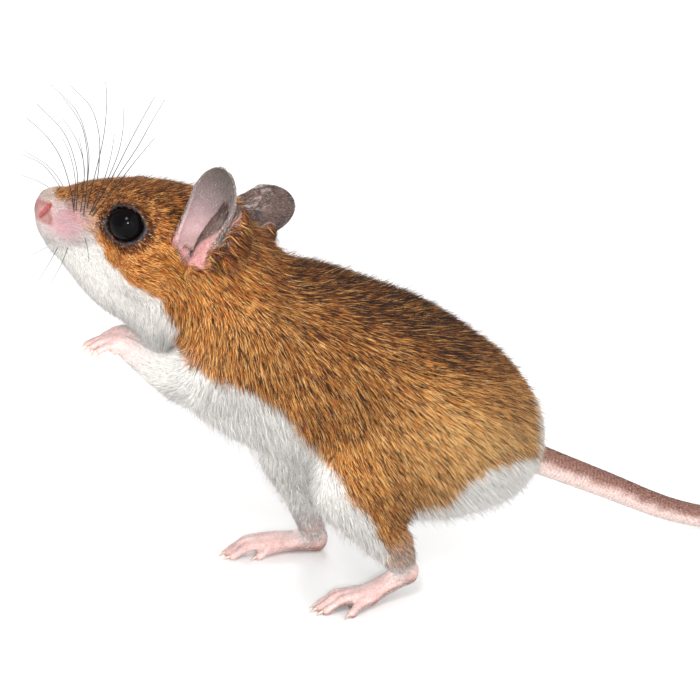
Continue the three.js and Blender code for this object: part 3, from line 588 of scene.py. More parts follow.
# ---- Markings and lie of the coat ----
# Where white meets tan, in side view: x and z, from the nose back. White lies below and ahead of each line.
WHITE_HEAD = [(-52, 68.5), (-47.5, 66.8), (-45.6, 64.9), (-43.0, 62.6), (-39.8, 60.2), (-38.2, 58.1),
              (-36.6, 56.0), (-33.4, 53.0), (-30.4, 51.3), (-27.2, 50.5), (-18, 49)]
WHITE_BREAST = [(-42, 60), (-33, 53), (-29.4, 47.6), (-28.8, 44.7), (-27.5, 42.4)]
WHITE_BODY = {
    "left": WHITE_BREAST + [(-24.1, 41.0), (-18.8, 38.4), (-15.2, 35.6), (-12.6, 31.8), (-9.3, 27.9),
                            (-7.0, 24.8), (-4.7, 20.1), (-1.2, 14.9), (1.4, 9.6), (0.6, 7.4), (-3, 4)],
    "right": WHITE_BREAST + [(-24.1, 39.9), (-18.8, 37.8), (-13.8, 36.2), (-13, 32), (-12, 28),
                             (-11.4, 24.5), (-10.6, 19), (-9.2, 13), (-6.8, 7), (-5, 1)],
}
WHITE_RUMP = [(8, 8), (10.0, 13.8), (11.5, 18.8), (13.5, 22.2), (18, 23.4), (23, 22.8), (26, 21.8), (34, 18)]
DARK_BACK = [(-26, 60), (-18.8, 57.1), (-13.3, 51.3), (-6.1, 46.4), (1.5, 42.6), (9, 37.4), (16.7, 32.1),
             (24.1, 26.8), (32, 22)]
HOCK = {"left": 7.2, "right": 8.6}  # how far down the shank's fur reaches
WHISKER_PAD = (-41.9, 3.2, 60.9)


def beside(p, line):
    """Signed distance from a line in side view: positive below it, as it runs from the nose back."""
    p = np.column_stack([p[:, 0], p[:, 2]])
    best, sign = np.full(len(p), 1e3), np.ones(len(p))
    for a, b in zip(np.array(line[:-1], float), np.array(line[1:], float)):
        e = b - a
        t = np.clip((p - a) @ e / (e @ e), 0, 1)
        off = p - a - t[:, None] * e
        d = np.hypot(off[:, 0], off[:, 1])
        side = e[1] * off[:, 0] - e[0] * off[:, 1]
        nearer = d < best - 1e-9
        best[nearer] = d[nearer]
        sign[nearer] = np.sign(side[nearer])
    return best * sign


class Ripple:
    """A smooth wandering value in space, about -1 to 1, from a few waves."""

    def __init__(self, size, seed, waves=9):
        rng = np.random.default_rng(seed)
        self.k = unit(rng.normal(size=(waves, 3))) * rng.uniform(0.6, 1.6, (waves, 1)) * 2 * math.pi / size
        self.phase = rng.uniform(0, 2 * math.pi, waves)

    def __call__(self, p):
        return np.sin(p @ self.k.T + self.phase).mean(1) * 2.0


wander, wander_fine, sway = Ripple(9.0, 1), Ripple(2.6, 2), Ripple(14.0, 3)
tone_patch, tone_streak = Ripple(6.0, 4), Ripple(2.0, 5)


def limb(name):
    return [form for other, form, _ in limb_forms if other == name]


PARTS = {
    "head": [head_form, throat_form, *cheek_forms], "trunk": [trunk_form], "thigh": limb("thigh"),
    "shank": limb("shank"), "upper": limb("upper_arm"), "fore": limb("forearm"),
    "foot": [form for side in SIDES for form, _ in feet[side][0]],
    "hand": [form for side in SIDES for form, _ in hands[side][0]],
    "tail": [tail_form],
}


def closest(p, forms):
    """Least distance to any of several forms, and the direction and share of length there."""
    best, way, share = np.full(len(p), 1e3), np.zeros((len(p), 3)), np.zeros(len(p))
    for form in forms:
        near = form.close_to(p, 9)
        if not near.any():
            continue
        d, w, t = form.nearest(p[near])
        rows = np.flatnonzero(near)
        take = d < best[rows]
        best[rows[take]], way[rows[take]], share[rows[take]] = d[take], w[take], t[take]
    return best, way, share


def lid_gap(q):
    """How far points are outside the opening between the lids."""
    gap = np.full(len(q), 99.0)
    for s in SIDES.values():
        rho, theta, phi = eye_polar(q, s)
        outside = (theta - lid_opening(phi)) * EYE_RADIUS + np.maximum(rho - EYE_RADIUS - 0.9, 0)
        gap = np.minimum(gap, np.where(rho < EYE_RADIUS + 5, outside, 99))
    return gap


class Spots:
    """Points p of the skin whose outward directions are n, and how far each is of each part of the body."""

    def __init__(self, p, n):
        self.p, self.n = p, n
        self.q, self.nq = turned(p, -1), turned_way(n, -1)
        self.s = np.where(p[:, 1] < 0, -1.0, 1.0)
        found = {name: closest(self.q if name == "head" else p, forms) for name, forms in PARTS.items()}
        least = np.min([f[0] for f in found.values()], axis=0)
        share = {name: np.exp(-(f[0] - least) / 0.9) for name, f in found.items()}
        total = sum(share.values())
        share = {name: w / total for name, w in share.items()}
        hock = np.where(self.s < 0, HOCK["left"], HOCK["right"])
        above = step(hock - 0.5, hock + 0.7, p[:, 2]) * (p[:, 0] > -12)
        share["shank"] = share["shank"] + share["foot"] * above
        share["foot"] = share["foot"] * (1 - above)
        self.share, self.head = share, share["head"]
        self.ways = {name: f[1] for name, f in found.items()}
        self.ankle = (1 - above) * share["shank"]
        self.low_shank = share["shank"] * (1 - step(8.0, 14.0, p[:, 2]))
        self.wristward = step(0.55, 1.0, found["fore"][2]) * share["fore"]
        self.eye_gap = lid_gap(self.q)


# ---- Ears ----
EAR_MARKS = ("on", "inside", "up", "rim", "streaks", "flap", "mound", "lashes")


def cover(marks, where, **values):
    """Sets marks where a place is covered."""
    for key, value in values.items():
        here = where[:, None] if marks[key].ndim == 2 else where
        marks[key] = np.where(here, value, marks[key])


def lift_to(marks, **values):
    """Raises marks that are less than values."""
    for key, value in values.items():
        marks[key] = np.maximum(marks[key], value)


def share_on_ear(at, side, polar, inward):
    """How far points are of the ear or its hollow, and not of the head beside it."""
    t, angle, dist, radius, limit, length = polar
    root, axis, front, _, _ = ear_frame(side)
    rel = at.q - root
    others = [head_form, throat_form, ear_lobes(side)[1], *cheek_forms]
    gap = np.min([np.abs(form.distance(at.q)) for form in others], axis=0)
    on = step(-0.25, 0.35, gap - np.abs(ear_distance(at.q, side)))
    on *= np.linalg.norm(rel, axis=1) < length * 1.3
    on *= mix(step(0.20, 0.36, t), step(-0.05, 0.05, t), step(-0.3, 0.2, inward))
    bottom = 1 - step(2.6, 3.4, np.linalg.norm(rel - axis * 0.9 - front * 1.0, axis=1))
    hollow = step(-0.06, 0.02, t) * (dist < radius + 0.1) * (np.abs(angle) < limit + 0.2) * (t < 1)
    hollow = np.maximum(bottom * step(-0.4, 0.5, rel @ front), hollow)
    facing = np.max([inward, at.nq @ axis, at.nq @ front], axis=0)
    return np.maximum(on, hollow * step(-0.2, 0.2, facing))


def mark_ear(marks, at, side):
    """The ear's hollow, its edge, and the streaks on its back."""
    polar = ear_polar(at.q, side)
    t, angle, dist, radius, limit, length = polar
    _, axis, front, across, _ = ear_frame(side)
    inward = (at.nq @ front) * np.cos(angle) - (at.nq @ across) * np.sin(angle)
    on = share_on_ear(at, side, polar, inward)
    margin = np.minimum((limit - np.abs(angle)) * radius, (1 - t) * length)
    rim = on * (1 - step(0.2, 0.75, np.abs(margin))) * (np.abs(dist - radius + 0.2) < 1.0) * step(0.1, 0.3, t)
    up = np.where((inward < 0) & (t > 0.15), np.maximum(t, 0.4), t)
    lines = np.sin(angle * radius * 2 * math.pi / 0.9 + 1.1 * wander_fine(at.q))
    lines = lines * step(0.15, 0.35, t) * (1 - step(0.65, 0.85, t))
    flap = ear_lobes(side)[0].distance(at.q)
    streaks = step(0.55, 1.0, lines) * (inward < 0) * step(1.0, 2.0, flap)
    inside = step(-0.2, 0.4, inward)
    cover(marks, on > marks["on"], inside=inside, up=np.clip(up, 0, 1), streaks=streaks, way=axis)
    lift_to(marks, on=on, rim=rim)


def mark_lobes(marks, at, side):
    """The flap is bare ahead and furred behind, and dark hairs stand behind it."""
    root, axis, front, across, _ = ear_frame(side)
    rel = at.q - root
    along, forward, sideways = rel @ axis, rel @ front, rel @ across
    flap, mound = [form.distance(at.q) for form in ear_lobes(side)]
    on = (1 - step(0.15, 0.6, np.abs(flap))) * step(-4.0, -3.3, sideways) * (forward > -2.5)
    dark_edge = step(-0.35, 0.35, sideways - mix(-1.5, -3.4, step(2.0, 8.0, along))) * step(-0.6, 0.8, along)
    cover(marks, on > 0.3, inside=0, up=np.clip(0.03 * along + 0.6 * dark_edge, 0, 1), way=axis)
    on_mound = (1 - step(0.4, 1.6, mound)) * step(2.0, 5.5, along)
    lashes = -((along - 3.5) / 3.0) ** 2 - ((sideways + 4.6) / 1.0) ** 2 - ((forward - 0.4) / 2.5) ** 2
    lift_to(marks, on=on, flap=on, mound=on_mound, lashes=np.exp(lashes))


def ear_marks(at):
    """What the skin is like on the ears, which stand on the head, and just behind them."""
    marks = {key: np.zeros(len(at.p)) for key in EAR_MARKS}
    marks["way"] = np.zeros((len(at.p), 3))
    for side in SIDES:
        mark_ear(marks, at, side)
        mark_lobes(marks, at, side)
    return marks


# ---- Colours ----
def white_mark(at):
    """How white the coat is, and the distance from where white meets tan."""
    p, n, s, share = at.p, at.n, at.s, at.share
    body = np.where(s < 0, beside(p, WHITE_BODY["left"]), beside(p, WHITE_BODY["right"]))
    edge = mix(body, beside(at.q, WHITE_HEAD), at.head) + mix(0.9, 0.4, at.head)
    edge = edge + 0.35 * wander(p) + 0.35 * wander_fine(p)
    rump = np.where(p[:, 0] > 6, beside(p, WHITE_RUMP) + 0.3 * wander_fine(p), -9)
    leg = np.clip(share["thigh"] + share["shank"] + share["foot"], 0, 1)
    arm = np.clip(share["fore"] + share["hand"], 0, 1)
    beside_tail = step(26.6, 28.6, p[:, 0] + 0.4 * wander_fine(p)) * step(19, 22, p[:, 2])
    whites = [
        step(-0.45, 0.45, edge),
        step(-0.4, 0.4, rump),
        step(0.38, 0.6, -n[:, 2]) * (1 - at.head),  # underneath
        leg * step(0.05, 0.35, -n[:, 1] * s),  # the legs' inner sides
        0.42 * at.low_shank,
        arm * step(-0.2, 0.4, share["fore"] + share["hand"]),
        beside_tail * 0.75 * (p[:, 2] < 33),
    ]
    return np.max(whites, axis=0), edge


def colour_marks(at, ears):
    """How white, dark and golden the coat is, and how much lighter its tan is in places."""
    p, head = at.p, at.head
    white, edge = white_mark(at)
    crown = step(0.25, 0.85, at.nq[:, 2] + 0.12 * wander_fine(p)) * step(-46, -39, at.q[:, 0]) * 0.45
    ends = mix(0.45, 1, step(-24, -12, p[:, 0])) * mix(1, 0.45, step(15, 27, p[:, 0]))
    back = step(-3.5, 8.5, -beside(p, DARK_BACK) + 1.2 * wander(p)) * ends
    dark = mix(back, crown, head) * (1 - white)
    dark = np.clip(dark + 0.10 * tone_patch(p) * (1 - white), 0, 1)
    # The top of the muzzle is greyish.
    white = white * (1 - 0.3 * head * (1 - step(-46, -42, at.q[:, 0])) * step(62, 64, at.q[:, 2]))
    near_lids = head * (1 - step(0.5, 1.7, at.eye_gap))
    above_heel = np.exp(-((p[:, 2] - 8.4) / 1.3) ** 2) * at.share["shank"]
    above_heel = above_heel * step(3.0, 5.0, p[:, 0]) * (at.s < 0)
    # Grey hairs in the head's white: a few all over, and many more where it faces down, which is painted
    # shade.
    throat_grey_and_shade = head * white * (0.22 + 0.65 * step(0.15, 0.8, -at.nq[:, 2]))
    darks = [dark, near_lids * 0.9, ears["lashes"], above_heel * 0.4, ears["mound"] * 0.6, throat_grey_and_shade]
    gold = head * (1 - crown) * step(-47, -38, at.q[:, 0]) + (1 - head) * (1 - step(0, 9, -edge)) * 0.6
    haunch = np.exp(-((p[:, 0] - 18) / 16) ** 2 - ((p[:, 2] - 27) / 11) ** 2)
    shoulder = 0.12 * np.exp(-((p[:, 0] + 21) / 7) ** 2 - ((p[:, 2] - 47) / 6) ** 2)
    return {
        "white": white, "dark": np.max(darks, axis=0), "gold": np.clip(gold, 0, 1) * (1 - white),
        "bright": np.maximum(haunch, shoulder),
    }


def face_marks(at):
    """The nose and nostrils, the bare pad that bears the whiskers, and the pink round it."""
    q = at.q
    nose = 1 - step(-45.6, -44.8, q[:, 0] + 0.3 * (q[:, 2] - 62.3))
    nose = nose * step(60.3, 60.9, q[:, 2]) * (1 - step(63.4, 64.2, q[:, 2]))
    slits = [bare([point * [1, s, 1] for point in NOSTRIL], [0.1, 0.1, 0.1]) for s in SIDES.values()]
    nostril = 1 - step(0.2, 0.55, np.min([slit.distance(q) for slit in slits], axis=0))
    x, y, z = WHISKER_PAD
    middle = np.column_stack([np.full(len(q), x), y * np.sign(q[:, 1]), np.full(len(q), z)])
    pad = (1 - step(1.6, 4.4, np.linalg.norm((q - middle) * [0.8, 1, 1], axis=1))) * at.head
    pink = 0.55 * at.head * (1 - step(-43.5, -39, q[:, 0])) * step(56, 59.5, q[:, 2])
    return {"nose": np.maximum(nose, nostril), "nostril": nostril, "pad": pad,
            "blush": np.maximum(pad * 0.9, pink)}


# ---- Hairs' sizes and lie ----
# Length in millimetres, hairs for each square millimetre, and width.
HAIR_SIZES = {
    "trunk": (2.4, 29, 0.25), "thigh": (2.2, 29, 0.25), "shank": (1.8, 34, 0.21), "upper": (2.1, 30, 0.24),
    "fore": (1.4, 40, 0.18), "foot": (0.8, 26, 0.07), "hand": (0.5, 26, 0.06), "tail": (0.85, 28, 0.085),
}
# On the head they depend on x, and so does the coat's slant over the body, in degrees below level.
HEAD_LENGTH = [-47, -44, -41, -37, -32, -27, -21, -16], [0.45, 0.6, 0.85, 1.15, 1.5, 1.8, 2.2, 2.5]
HEAD_DENSITY = [-47, -40, -30, -22], [95, 72, 52, 36]
HEAD_WIDTH = [-47, -40, -30, -20], [0.10, 0.14, 0.18, 0.24]
SLANT = [-24, -14, -2, 10, 26], [68, 65, 56, 51, 53]


def hair_sizes(at, ears, face, fur):
    """Length, density and width of the hairs."""
    n, head = at.n, at.head
    x = at.q[:, 0]
    on_head = np.interp(x, *HEAD_LENGTH) * mix(1.0, 1.12, step(0.3, 0.9, -at.nq[:, 2]))
    sizes = {"head": (on_head, np.interp(x, *HEAD_DENSITY), np.interp(x, *HEAD_WIDTH)), **HAIR_SIZES}
    length, density, width = [sum(at.share[name] * sizes[name][i] for name in at.share) for i in range(3)]
    length = mix(length, 1.1, np.maximum(at.ankle * 0.6, at.low_shank * 0.7))
    density = density * mix(1.0, 0.30, face["pad"]) * (1 - face["nose"] * 0.97) * step(0.0, 0.4, at.eye_gap)
    length = mix(length, mix(0.75, 0.5, ears["inside"]), ears["on"])
    on_ear = (mix(30, 17, ears["inside"]) + 8 * ears["rim"]) * (1 - 0.75 * ears["flap"])
    density = mix(density, on_ear, ears["on"])
    width = mix(width, 0.075, ears["on"])
    near_eye = head * (1 - step(1.0, 3.6, at.eye_gap))
    length = mix(length, np.minimum(length, 0.8), near_eye)
    sole = step(0.5, 0.8, -n[:, 2]) * np.clip(at.share["foot"] + at.share["hand"], 0, 1)
    depth = np.clip(-flesh(at.p, True), 0.05, 2.4)
    depth = np.where(depth > 2.3, 0.2, depth)
    depth = np.maximum(depth, 0.34 * length * fur)
    return {"length": length, "density": density * (1 - sole), "width": width, "depth": depth}


def lie(at, ear_on, ear_way):
    """The way the coat lies: from the nose back, down and back over the body, and down the limbs."""
    p, n = at.p, at.n
    ways = dict(at.ways)
    ways["head"] = turned_way(ways["head"], 1)
    slant = np.radians(np.interp(p[:, 0], *SLANT) - 14 * step(0.2, 0.9, n[:, 2]))
    ways["trunk"] = ways["thigh"] = np.column_stack([np.cos(slant), 0 * slant, -np.sin(slant)])
    ways["upper"] = 0.3 * ways["upper"] + 0.7 * ways["trunk"]
    flow = sum(at.share[name][:, None] * ways[name] for name in at.share)
    flow = flow + 0.06 * sway(p)[:, None] * np.cross(n, unit(flow))
    flow = mix(flow, turned_way(ear_way, 1), ear_on[:, None])
    for s in SIDES.values():  # the coat parts round the eye
        away = turned_way(unit(at.q - EYE * [1, s, 1]), 1)
        parting = at.head * np.exp(-np.clip(at.eye_gap, 0, 9) / 1.6) * (at.q[:, 1] * s > 0) * 0.55
        flow = flow + away * parting[:, None]
    return unit(flow - np.einsum("ij,ij->i", flow, n)[:, None] * n)


def survey(p, n):
    """What the coat and skin are like at points p of the skin whose outward directions are n."""
    at = Spots(p, n)
    ears, face = ear_marks(at), face_marks(at)
    foot, hand, tail = at.share["foot"], at.share["hand"], at.share["tail"]
    fur = 1 - np.clip(foot + hand + tail, 0, 1)
    fur = np.clip(fur - 0.75 * at.ankle - 0.45 * at.wristward, 0, 1)
    fur = fur * (1 - face["nose"]) * (1 - ears["on"]) * (1 - 0.45 * face["pad"])
    return {
        **colour_marks(at, ears), **face, **hair_sizes(at, ears, face, fur),
        "fur": fur, "tail": tail, "foot": np.clip(foot + hand + at.ankle + 0.6 * at.wristward, 0, 1),
        "lid": 1 - step(0.25, 0.95, at.eye_gap), "flow": lie(at, ears["on"], ears["way"]),
        # Painted shade: the feet's undersides, darkened brown in the skin through the sole attribute.
        "heel": step(-0.3, 0.3, -n[:, 2] + 0.15 * wander_fine(p)) * step(-11, -5, p[:, 0]) * foot,
        "ear": ears["on"], "ear_inside": ears["inside"], "ear_up": ears["up"], "ear_rim": ears["rim"],
        "streaks": ears["streaks"], "lashes": ears["lashes"],
    }


# ---- Meshes ----
def put_attribute(mesh, name, values):
    """One value or a colour of three for each point of a mesh."""
    values = np.asarray(values, np.float32)
    if values.ndim == 1:
        mesh.attributes.new(name, "FLOAT", "POINT").data.foreach_set("value", values)
    else:
        colours = np.column_stack([values, np.ones(len(values), np.float32)])
        mesh.attributes.new(name, "FLOAT_COLOR", "POINT").data.foreach_set("color", colours.ravel())


def mesh_of(name, points, faces, attributes=None, smooth=True):
    """A mesh object from points in the mouse's millimetres. attributes: name to values for each point."""
    faces = np.asarray(faces, np.int32)
    mesh = bpy.data.meshes.new(name)
    mesh.vertices.add(len(points))
    mesh.vertices.foreach_set("co", placed(points).astype(np.float32).ravel())
    mesh.loops.add(faces.size)
    mesh.loops.foreach_set("vertex_index", faces.ravel())
    mesh.polygons.add(len(faces))
    mesh.polygons.foreach_set("loop_start", np.arange(0, faces.size, faces.shape[1], dtype=np.int32))
    mesh.polygons.foreach_set("use_smooth", np.full(len(faces), smooth))
    mesh.update(calc_edges=True)
    for key, values in (attributes or {}).items():
        put_attribute(mesh, key, values)
    made = bpy.data.objects.new(name, mesh)
    bpy.context.scene.collection.objects.link(made)
    return made


def finished(piece, material, slot, *nodes):
    piece.data.materials.append(material)
    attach(piece, "root")
    if nodes:
        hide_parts(*nodes)
    return piece


def tubes(paths, radii, sides=6):
    """Points and triangles of closed tubes along paths, with a radius at each point and pointed ends."""
    points, faces, first = [], [], 0
    angles = np.arange(sides) * 2 * math.pi / sides
    for path, radius in zip(paths, radii):
        path = np.asarray(path, float)
        along = unit(np.gradient(path, axis=0))
        across = unit(np.cross(along, unit(np.array([0.21, 0.9, 0.38]))))
        other = np.cross(along, across)
        ring = across[:, None] * np.cos(angles)[None, :, None]
        ring = ring + other[:, None] * np.sin(angles)[None, :, None]
        body = (path[:, None] + ring * np.asarray(radius)[:, None, None]).reshape(-1, 3)
        points += [body, path[:1] - along[:1] * radius[0] * 0.6, path[-1:] + along[-1:] * radius[-1] * 1.5]
        start, end = first + len(body), first + len(body) + 1
        for i in range(first, start - sides, sides):
            for j in range(sides):
                a, b = i + j, i + (j + 1) % sides
                faces += [(a, b, b + sides), (a, b + sides, a + sides)]
        for j in range(sides):
            k = (j + 1) % sides
            faces += [(start, first + k, first + j), (end, start - sides + j, start - sides + k)]
        first = end + 1
    return np.concatenate(points), np.array(faces)


# ---- Materials ----
def linear(r, g, b):
    """A colour as seen on a screen, 0 to 255, as the shader takes it."""
    return tuple(((c / 255 + 0.055) / 1.055) ** 2.4 if c > 10 else c / 255 / 12.92 for c in (r, g, b))


class Paint:
    """A material, and the nodes that its look is worked out with."""

    def __init__(self, name):
        self.material = bpy.data.materials.new(name)
        self.material.use_nodes = True
        self.tree = self.material.node_tree
        self.tree.nodes.clear()
        out = self.node("OutputMaterial")
        self.principled = self.node("BsdfPrincipled")
        self.tree.links.new(self.principled.outputs["BSDF"], out.inputs["Surface"])

    def node(self, kind):
        return self.tree.nodes.new("ShaderNode" + kind)

    def plug(self, socket, value):
        if isinstance(value, bpy.types.NodeSocket):
            self.tree.links.new(value, socket)
        elif isinstance(value, tuple) and len(value) == 3 and socket.type == "RGBA":
            socket.default_value = (*value, 1)
        else:
            socket.default_value = value

    def look(self, **values):
        """Sets sockets of the shader, with _ for a space in their names."""
        for name, value in values.items():
            self.plug(self.principled.inputs[name.replace("_", " ")], value)

    def value(self, name):
        return self.named(name).outputs["Fac"]

    def three(self, name):
        """The three values that a colour attribute holds."""
        return self.split(self.named(name).outputs["Color"])

    def named(self, name):
        made = self.node("Attribute")
        made.attribute_name = name
        return made

    def split(self, colour):
        made = self.node("SeparateColor")
        self.plug(made.inputs[0], colour)
        return made.outputs[0], made.outputs[1], made.outputs[2]

    def maths(self, operation, a, b=0.0, c=0.0, clamp=False):
        made = self.node("Math")
        made.operation, made.use_clamp = operation, clamp
        for socket, value in zip(made.inputs, (a, b, c)):
            self.plug(socket, value)
        return made.outputs[0]

    def times(self, a, b, clamp=False):
        return self.maths("MULTIPLY", a, b, clamp=clamp)

    def scaled(self, a, b, c, clamp=False):
        """a * b + c"""
        return self.maths("MULTIPLY_ADD", a, b, c, clamp)

    def blend(self, share, a, b, kind="MIX"):
        made = self.node("Mix")
        made.data_type, made.blend_type = "RGBA", kind
        made.clamp_factor = True
        self.plug(made.inputs["Factor"], share)
        self.plug(made.inputs[6], a)
        self.plug(made.inputs[7], b)
        return made.outputs[2]

    def ramp(self, value, *stops):
        made = self.node("ValToRGB")
        self.plug(made.inputs[0], value)
        elements = made.color_ramp.elements
        while len(elements) < len(stops):
            elements.new(0.5)
        for element, (place, colour) in zip(elements, stops):
            element.position = place
            element.color = (*colour, 1)
        return made.outputs[0]

    def noise(self, scale, detail=3.0, rough=0.6):
        made = self.node("TexNoise")
        self.plug(made.inputs["Vector"], self.node("TexCoord").outputs["Object"])
        for name, value in (("Scale", scale), ("Detail", detail), ("Roughness", rough)):
            self.plug(made.inputs[name], float(value))
        return made.outputs["Fac"]

    def bump(self, height, distance):
        made = self.node("Bump")
        made.inputs["Strength"].default_value = 1.0
        made.inputs["Distance"].default_value = distance
        self.plug(made.inputs["Height"], height)
        self.plug(self.principled.inputs["Normal"], made.outputs["Normal"])


TAN = [(0.0, linear(38, 20, 10)), (0.25, linear(106, 58, 24)), (0.5, linear(180, 108, 46)),
       (0.75, linear(230, 156, 74)), (1.0, linear(250, 203, 134))]
WHITE = [(0.0, linear(158, 150, 143)), (0.32, linear(240, 236, 231)), (1.0, linear(251, 249, 245))]
HOLLOW = [(0.0, linear(206, 158, 156)), (0.22, linear(204, 166, 168)), (0.50, linear(136, 114, 116)),
          (0.78, linear(90, 76, 70)), (1.0, linear(66, 54, 48))]
PINK = [(0.30, linear(174, 116, 110)), (0.50, linear(208, 162, 157)), (0.72, linear(232, 200, 195))]
PINK_FOOT = [(0.3, linear(184, 138, 132)), (0.7, linear(230, 204, 199))]
RED_NOSE = [(0.3, linear(116, 72, 66)), (0.7, linear(158, 112, 106))]
EAR_BACK = [(0.32, linear(44, 30, 26)), (0.66, linear(112, 86, 78))]
LIDS = [(0.3, linear(12, 8, 11)), (0.7, linear(38, 28, 34))]


def coat_colour(paint, tone, tip, tick):
    """The coat's colour from its markings, for the hairs and the skin under them."""
    white, dark, gold = paint.three("mark")
    tone = paint.scaled(dark, -0.47, tone)
    tone = paint.scaled(gold, 0.16, tone, clamp=True)
    tan = paint.ramp(tone, *TAN)
    tan = paint.blend(paint.times(gold, 0.35), tan, linear(222, 156, 78), "OVERLAY")
    # Ticked hairs are black towards their tips, and more of them are where the coat is dark.
    is_ticked = paint.maths("LESS_THAN", tick, paint.scaled(dark, 0.50, 0.17))
    ticked = paint.times(is_ticked, paint.scaled(tip, 1.5, 0.1, clamp=True))
    tan = paint.blend(paint.times(ticked, 0.92), tan, linear(28, 13, 6))
    pale = paint.ramp(paint.scaled(tip, 0.55, paint.times(tone, 0.5)), *WHITE)
    pale = paint.blend(paint.value("blush"), pale, (0.48, 0.39, 0.41), "MULTIPLY")
    # Grey hairs among the pale ones, more where the dark mark is higher; under the throat this is painted
    # shade.
    is_grey = paint.maths("LESS_THAN", tick, paint.scaled(dark, 0.6, 0.13))
    pale = paint.blend(paint.times(is_grey, 0.55), pale, linear(128, 118, 112))
    return paint.blend(white, tan, pale)


def coat_material():
    paint = Paint("coat")
    tip, tone, tick = paint.three("strand")
    colour = coat_colour(paint, tone, tip, tick)
    white = paint.three("mark")[0]
    shade = paint.scaled(tip, 0.8, paint.scaled(white, 0.48, 0.3), clamp=True)
    root_shade = paint.blend(shade, (0.30, 0.26, 0.24), (1, 1, 1))
    colour = paint.blend(1.0, colour, root_shade, "MULTIPLY")
    paint.look(Base_Color=colour, Roughness=0.36, Specular_IOR_Level=0.38)
    return paint.material


def bare_colour(paint, fine, coarse, foot, pad, nose, furred, fur):
    """Bare pink skin with what furred skin shows between hairs, the nose and pads, and painted shade under
    the feet.
    """
    pink = paint.ramp(coarse, *PINK)
    pink = paint.blend(paint.times(foot, 0.45), pink, paint.ramp(fine, *PINK_FOOT))
    colour = paint.blend(fur, pink, furred)
    # Painted shade: the sole mark darkens the feet's undersides brown.
    colour = paint.blend(paint.value("sole"), colour, (0.34, 0.22, 0.16), "MULTIPLY")
    colour = paint.blend(paint.times(pad, 0.85), colour, linear(176, 118, 128))
    colour = paint.blend(nose, colour, paint.blend(0.85, pink, paint.ramp(coarse, *RED_NOSE)))
    return paint.blend(paint.value("nostril"), colour, linear(148, 68, 64))


def ear_colour(paint, coarse, inside, up):
    """The ear's hollow, pink at the bottom, and its dark back with paler streaks."""
    back = paint.ramp(coarse, *EAR_BACK)
    back = paint.blend(paint.times(up, 2.6, clamp=True), linear(218, 154, 150), back)
    back = paint.blend(paint.times(paint.value("streaks"), 0.75), back, linear(206, 186, 180))
    colour = paint.blend(inside, back, paint.ramp(up, *HOLLOW))
    mottle = paint.times(paint.noise(900, 3, 0.7), 0.8)
    return paint.blend(mottle, colour, (0.45, 0.42, 0.42), "MULTIPLY")


def tail_colour(paint, rings):
    colour = paint.blend(paint.value("tail_dark"), linear(232, 198, 190), linear(150, 108, 98))
    return paint.blend(paint.times(rings, 0.35), colour, linear(92, 62, 54))


def skin_material():
    paint = Paint("skin")
    fine, coarse = paint.noise(2600), paint.noise(420, 4)
    fur, ear, tail = paint.three("cover")
    lid, nose, inside = paint.three("feature")
    up, foot, pad = paint.three("zone")
    rings = paint.value("rings")
    under = coat_colour(paint, paint.scaled(fine, 0.9, -0.12, clamp=True), 0.35, 1.0)
    shade = paint.scaled(paint.three("mark")[0], -0.8, 1.0)
    under = paint.blend(shade, under, (0.55, 0.50, 0.48), "MULTIPLY")
    colour = bare_colour(paint, fine, coarse, foot, pad, nose, under, fur)
    colour = paint.blend(ear, colour, ear_colour(paint, coarse, inside, up))
    colour = paint.blend(tail, colour, tail_colour(paint, rings))
    colour = paint.blend(lid, colour, paint.ramp(fine, *LIDS))
    paint.look(Base_Color=colour, Roughness=0.5, Subsurface_Weight=0.12, Subsurface_Scale=0.0012)
    paint.principled.inputs["Subsurface Radius"].default_value = (1.0, 0.45, 0.3)
    ringed = paint.times(paint.times(rings, tail), 1.2)
    height = paint.maths("ADD", paint.times(fine, 0.6), ringed)
    paint.bump(paint.maths("ADD", height, paint.times(paint.noise(1300, 2), 0.8)), 0.00012)
    return paint.material


def plain_material(name, colours, scale, rough, coat=0.0, specular=0.5, depth=0.0):
    """A solid material whose colour wanders between two colours."""
    paint = Paint(name)
    mottle = paint.noise(scale)
    paint.look(Base_Color=paint.ramp(mottle, (0.3, colours[0]), (0.7, colours[1])), Roughness=rough,
               Coat_Weight=coat, Coat_Roughness=0.02, Specular_IOR_Level=specular)
    if depth:
        paint.bump(mottle, depth)
    return paint.material


# ---- The skin ----
PLAIN_FIRST = 10  # how much sooner triangles go where the skin is plain
KEPT_SHARE = 0.60  # of the triangles


def thinned(points, quads, plain, share):
    """Triangles for the quads, with fewer of them where plain is true."""
    mesh = bpy.data.meshes.new("thinning")
    mesh.from_pydata(points.tolist(), [], quads.tolist())
    held = bpy.data.objects.new("thinning", mesh)
    bpy.context.scene.collection.objects.link(held)
    held.vertex_groups.new(name="plain").add(np.flatnonzero(plain).tolist(), 1.0, "REPLACE")
    if share < 1:
        thinner = held.modifiers.new("thinner", "DECIMATE")
        thinner.ratio, thinner.vertex_group = share, "plain"
        thinner.vertex_group_factor = PLAIN_FIRST
    done = held.evaluated_get(bpy.context.evaluated_depsgraph_get()).to_mesh()
    done.calc_loop_triangles()
    corners, triangles = np.empty(len(done.vertices) * 3), np.empty(len(done.loop_triangles) * 3, np.int32)
    done.vertices.foreach_get("co", corners)
    done.loop_triangles.foreach_get("vertices", triangles)
    bpy.data.objects.remove(held)
    bpy.data.meshes.remove(mesh)
    return corners.reshape(-1, 3), triangles.reshape(-1, 3)


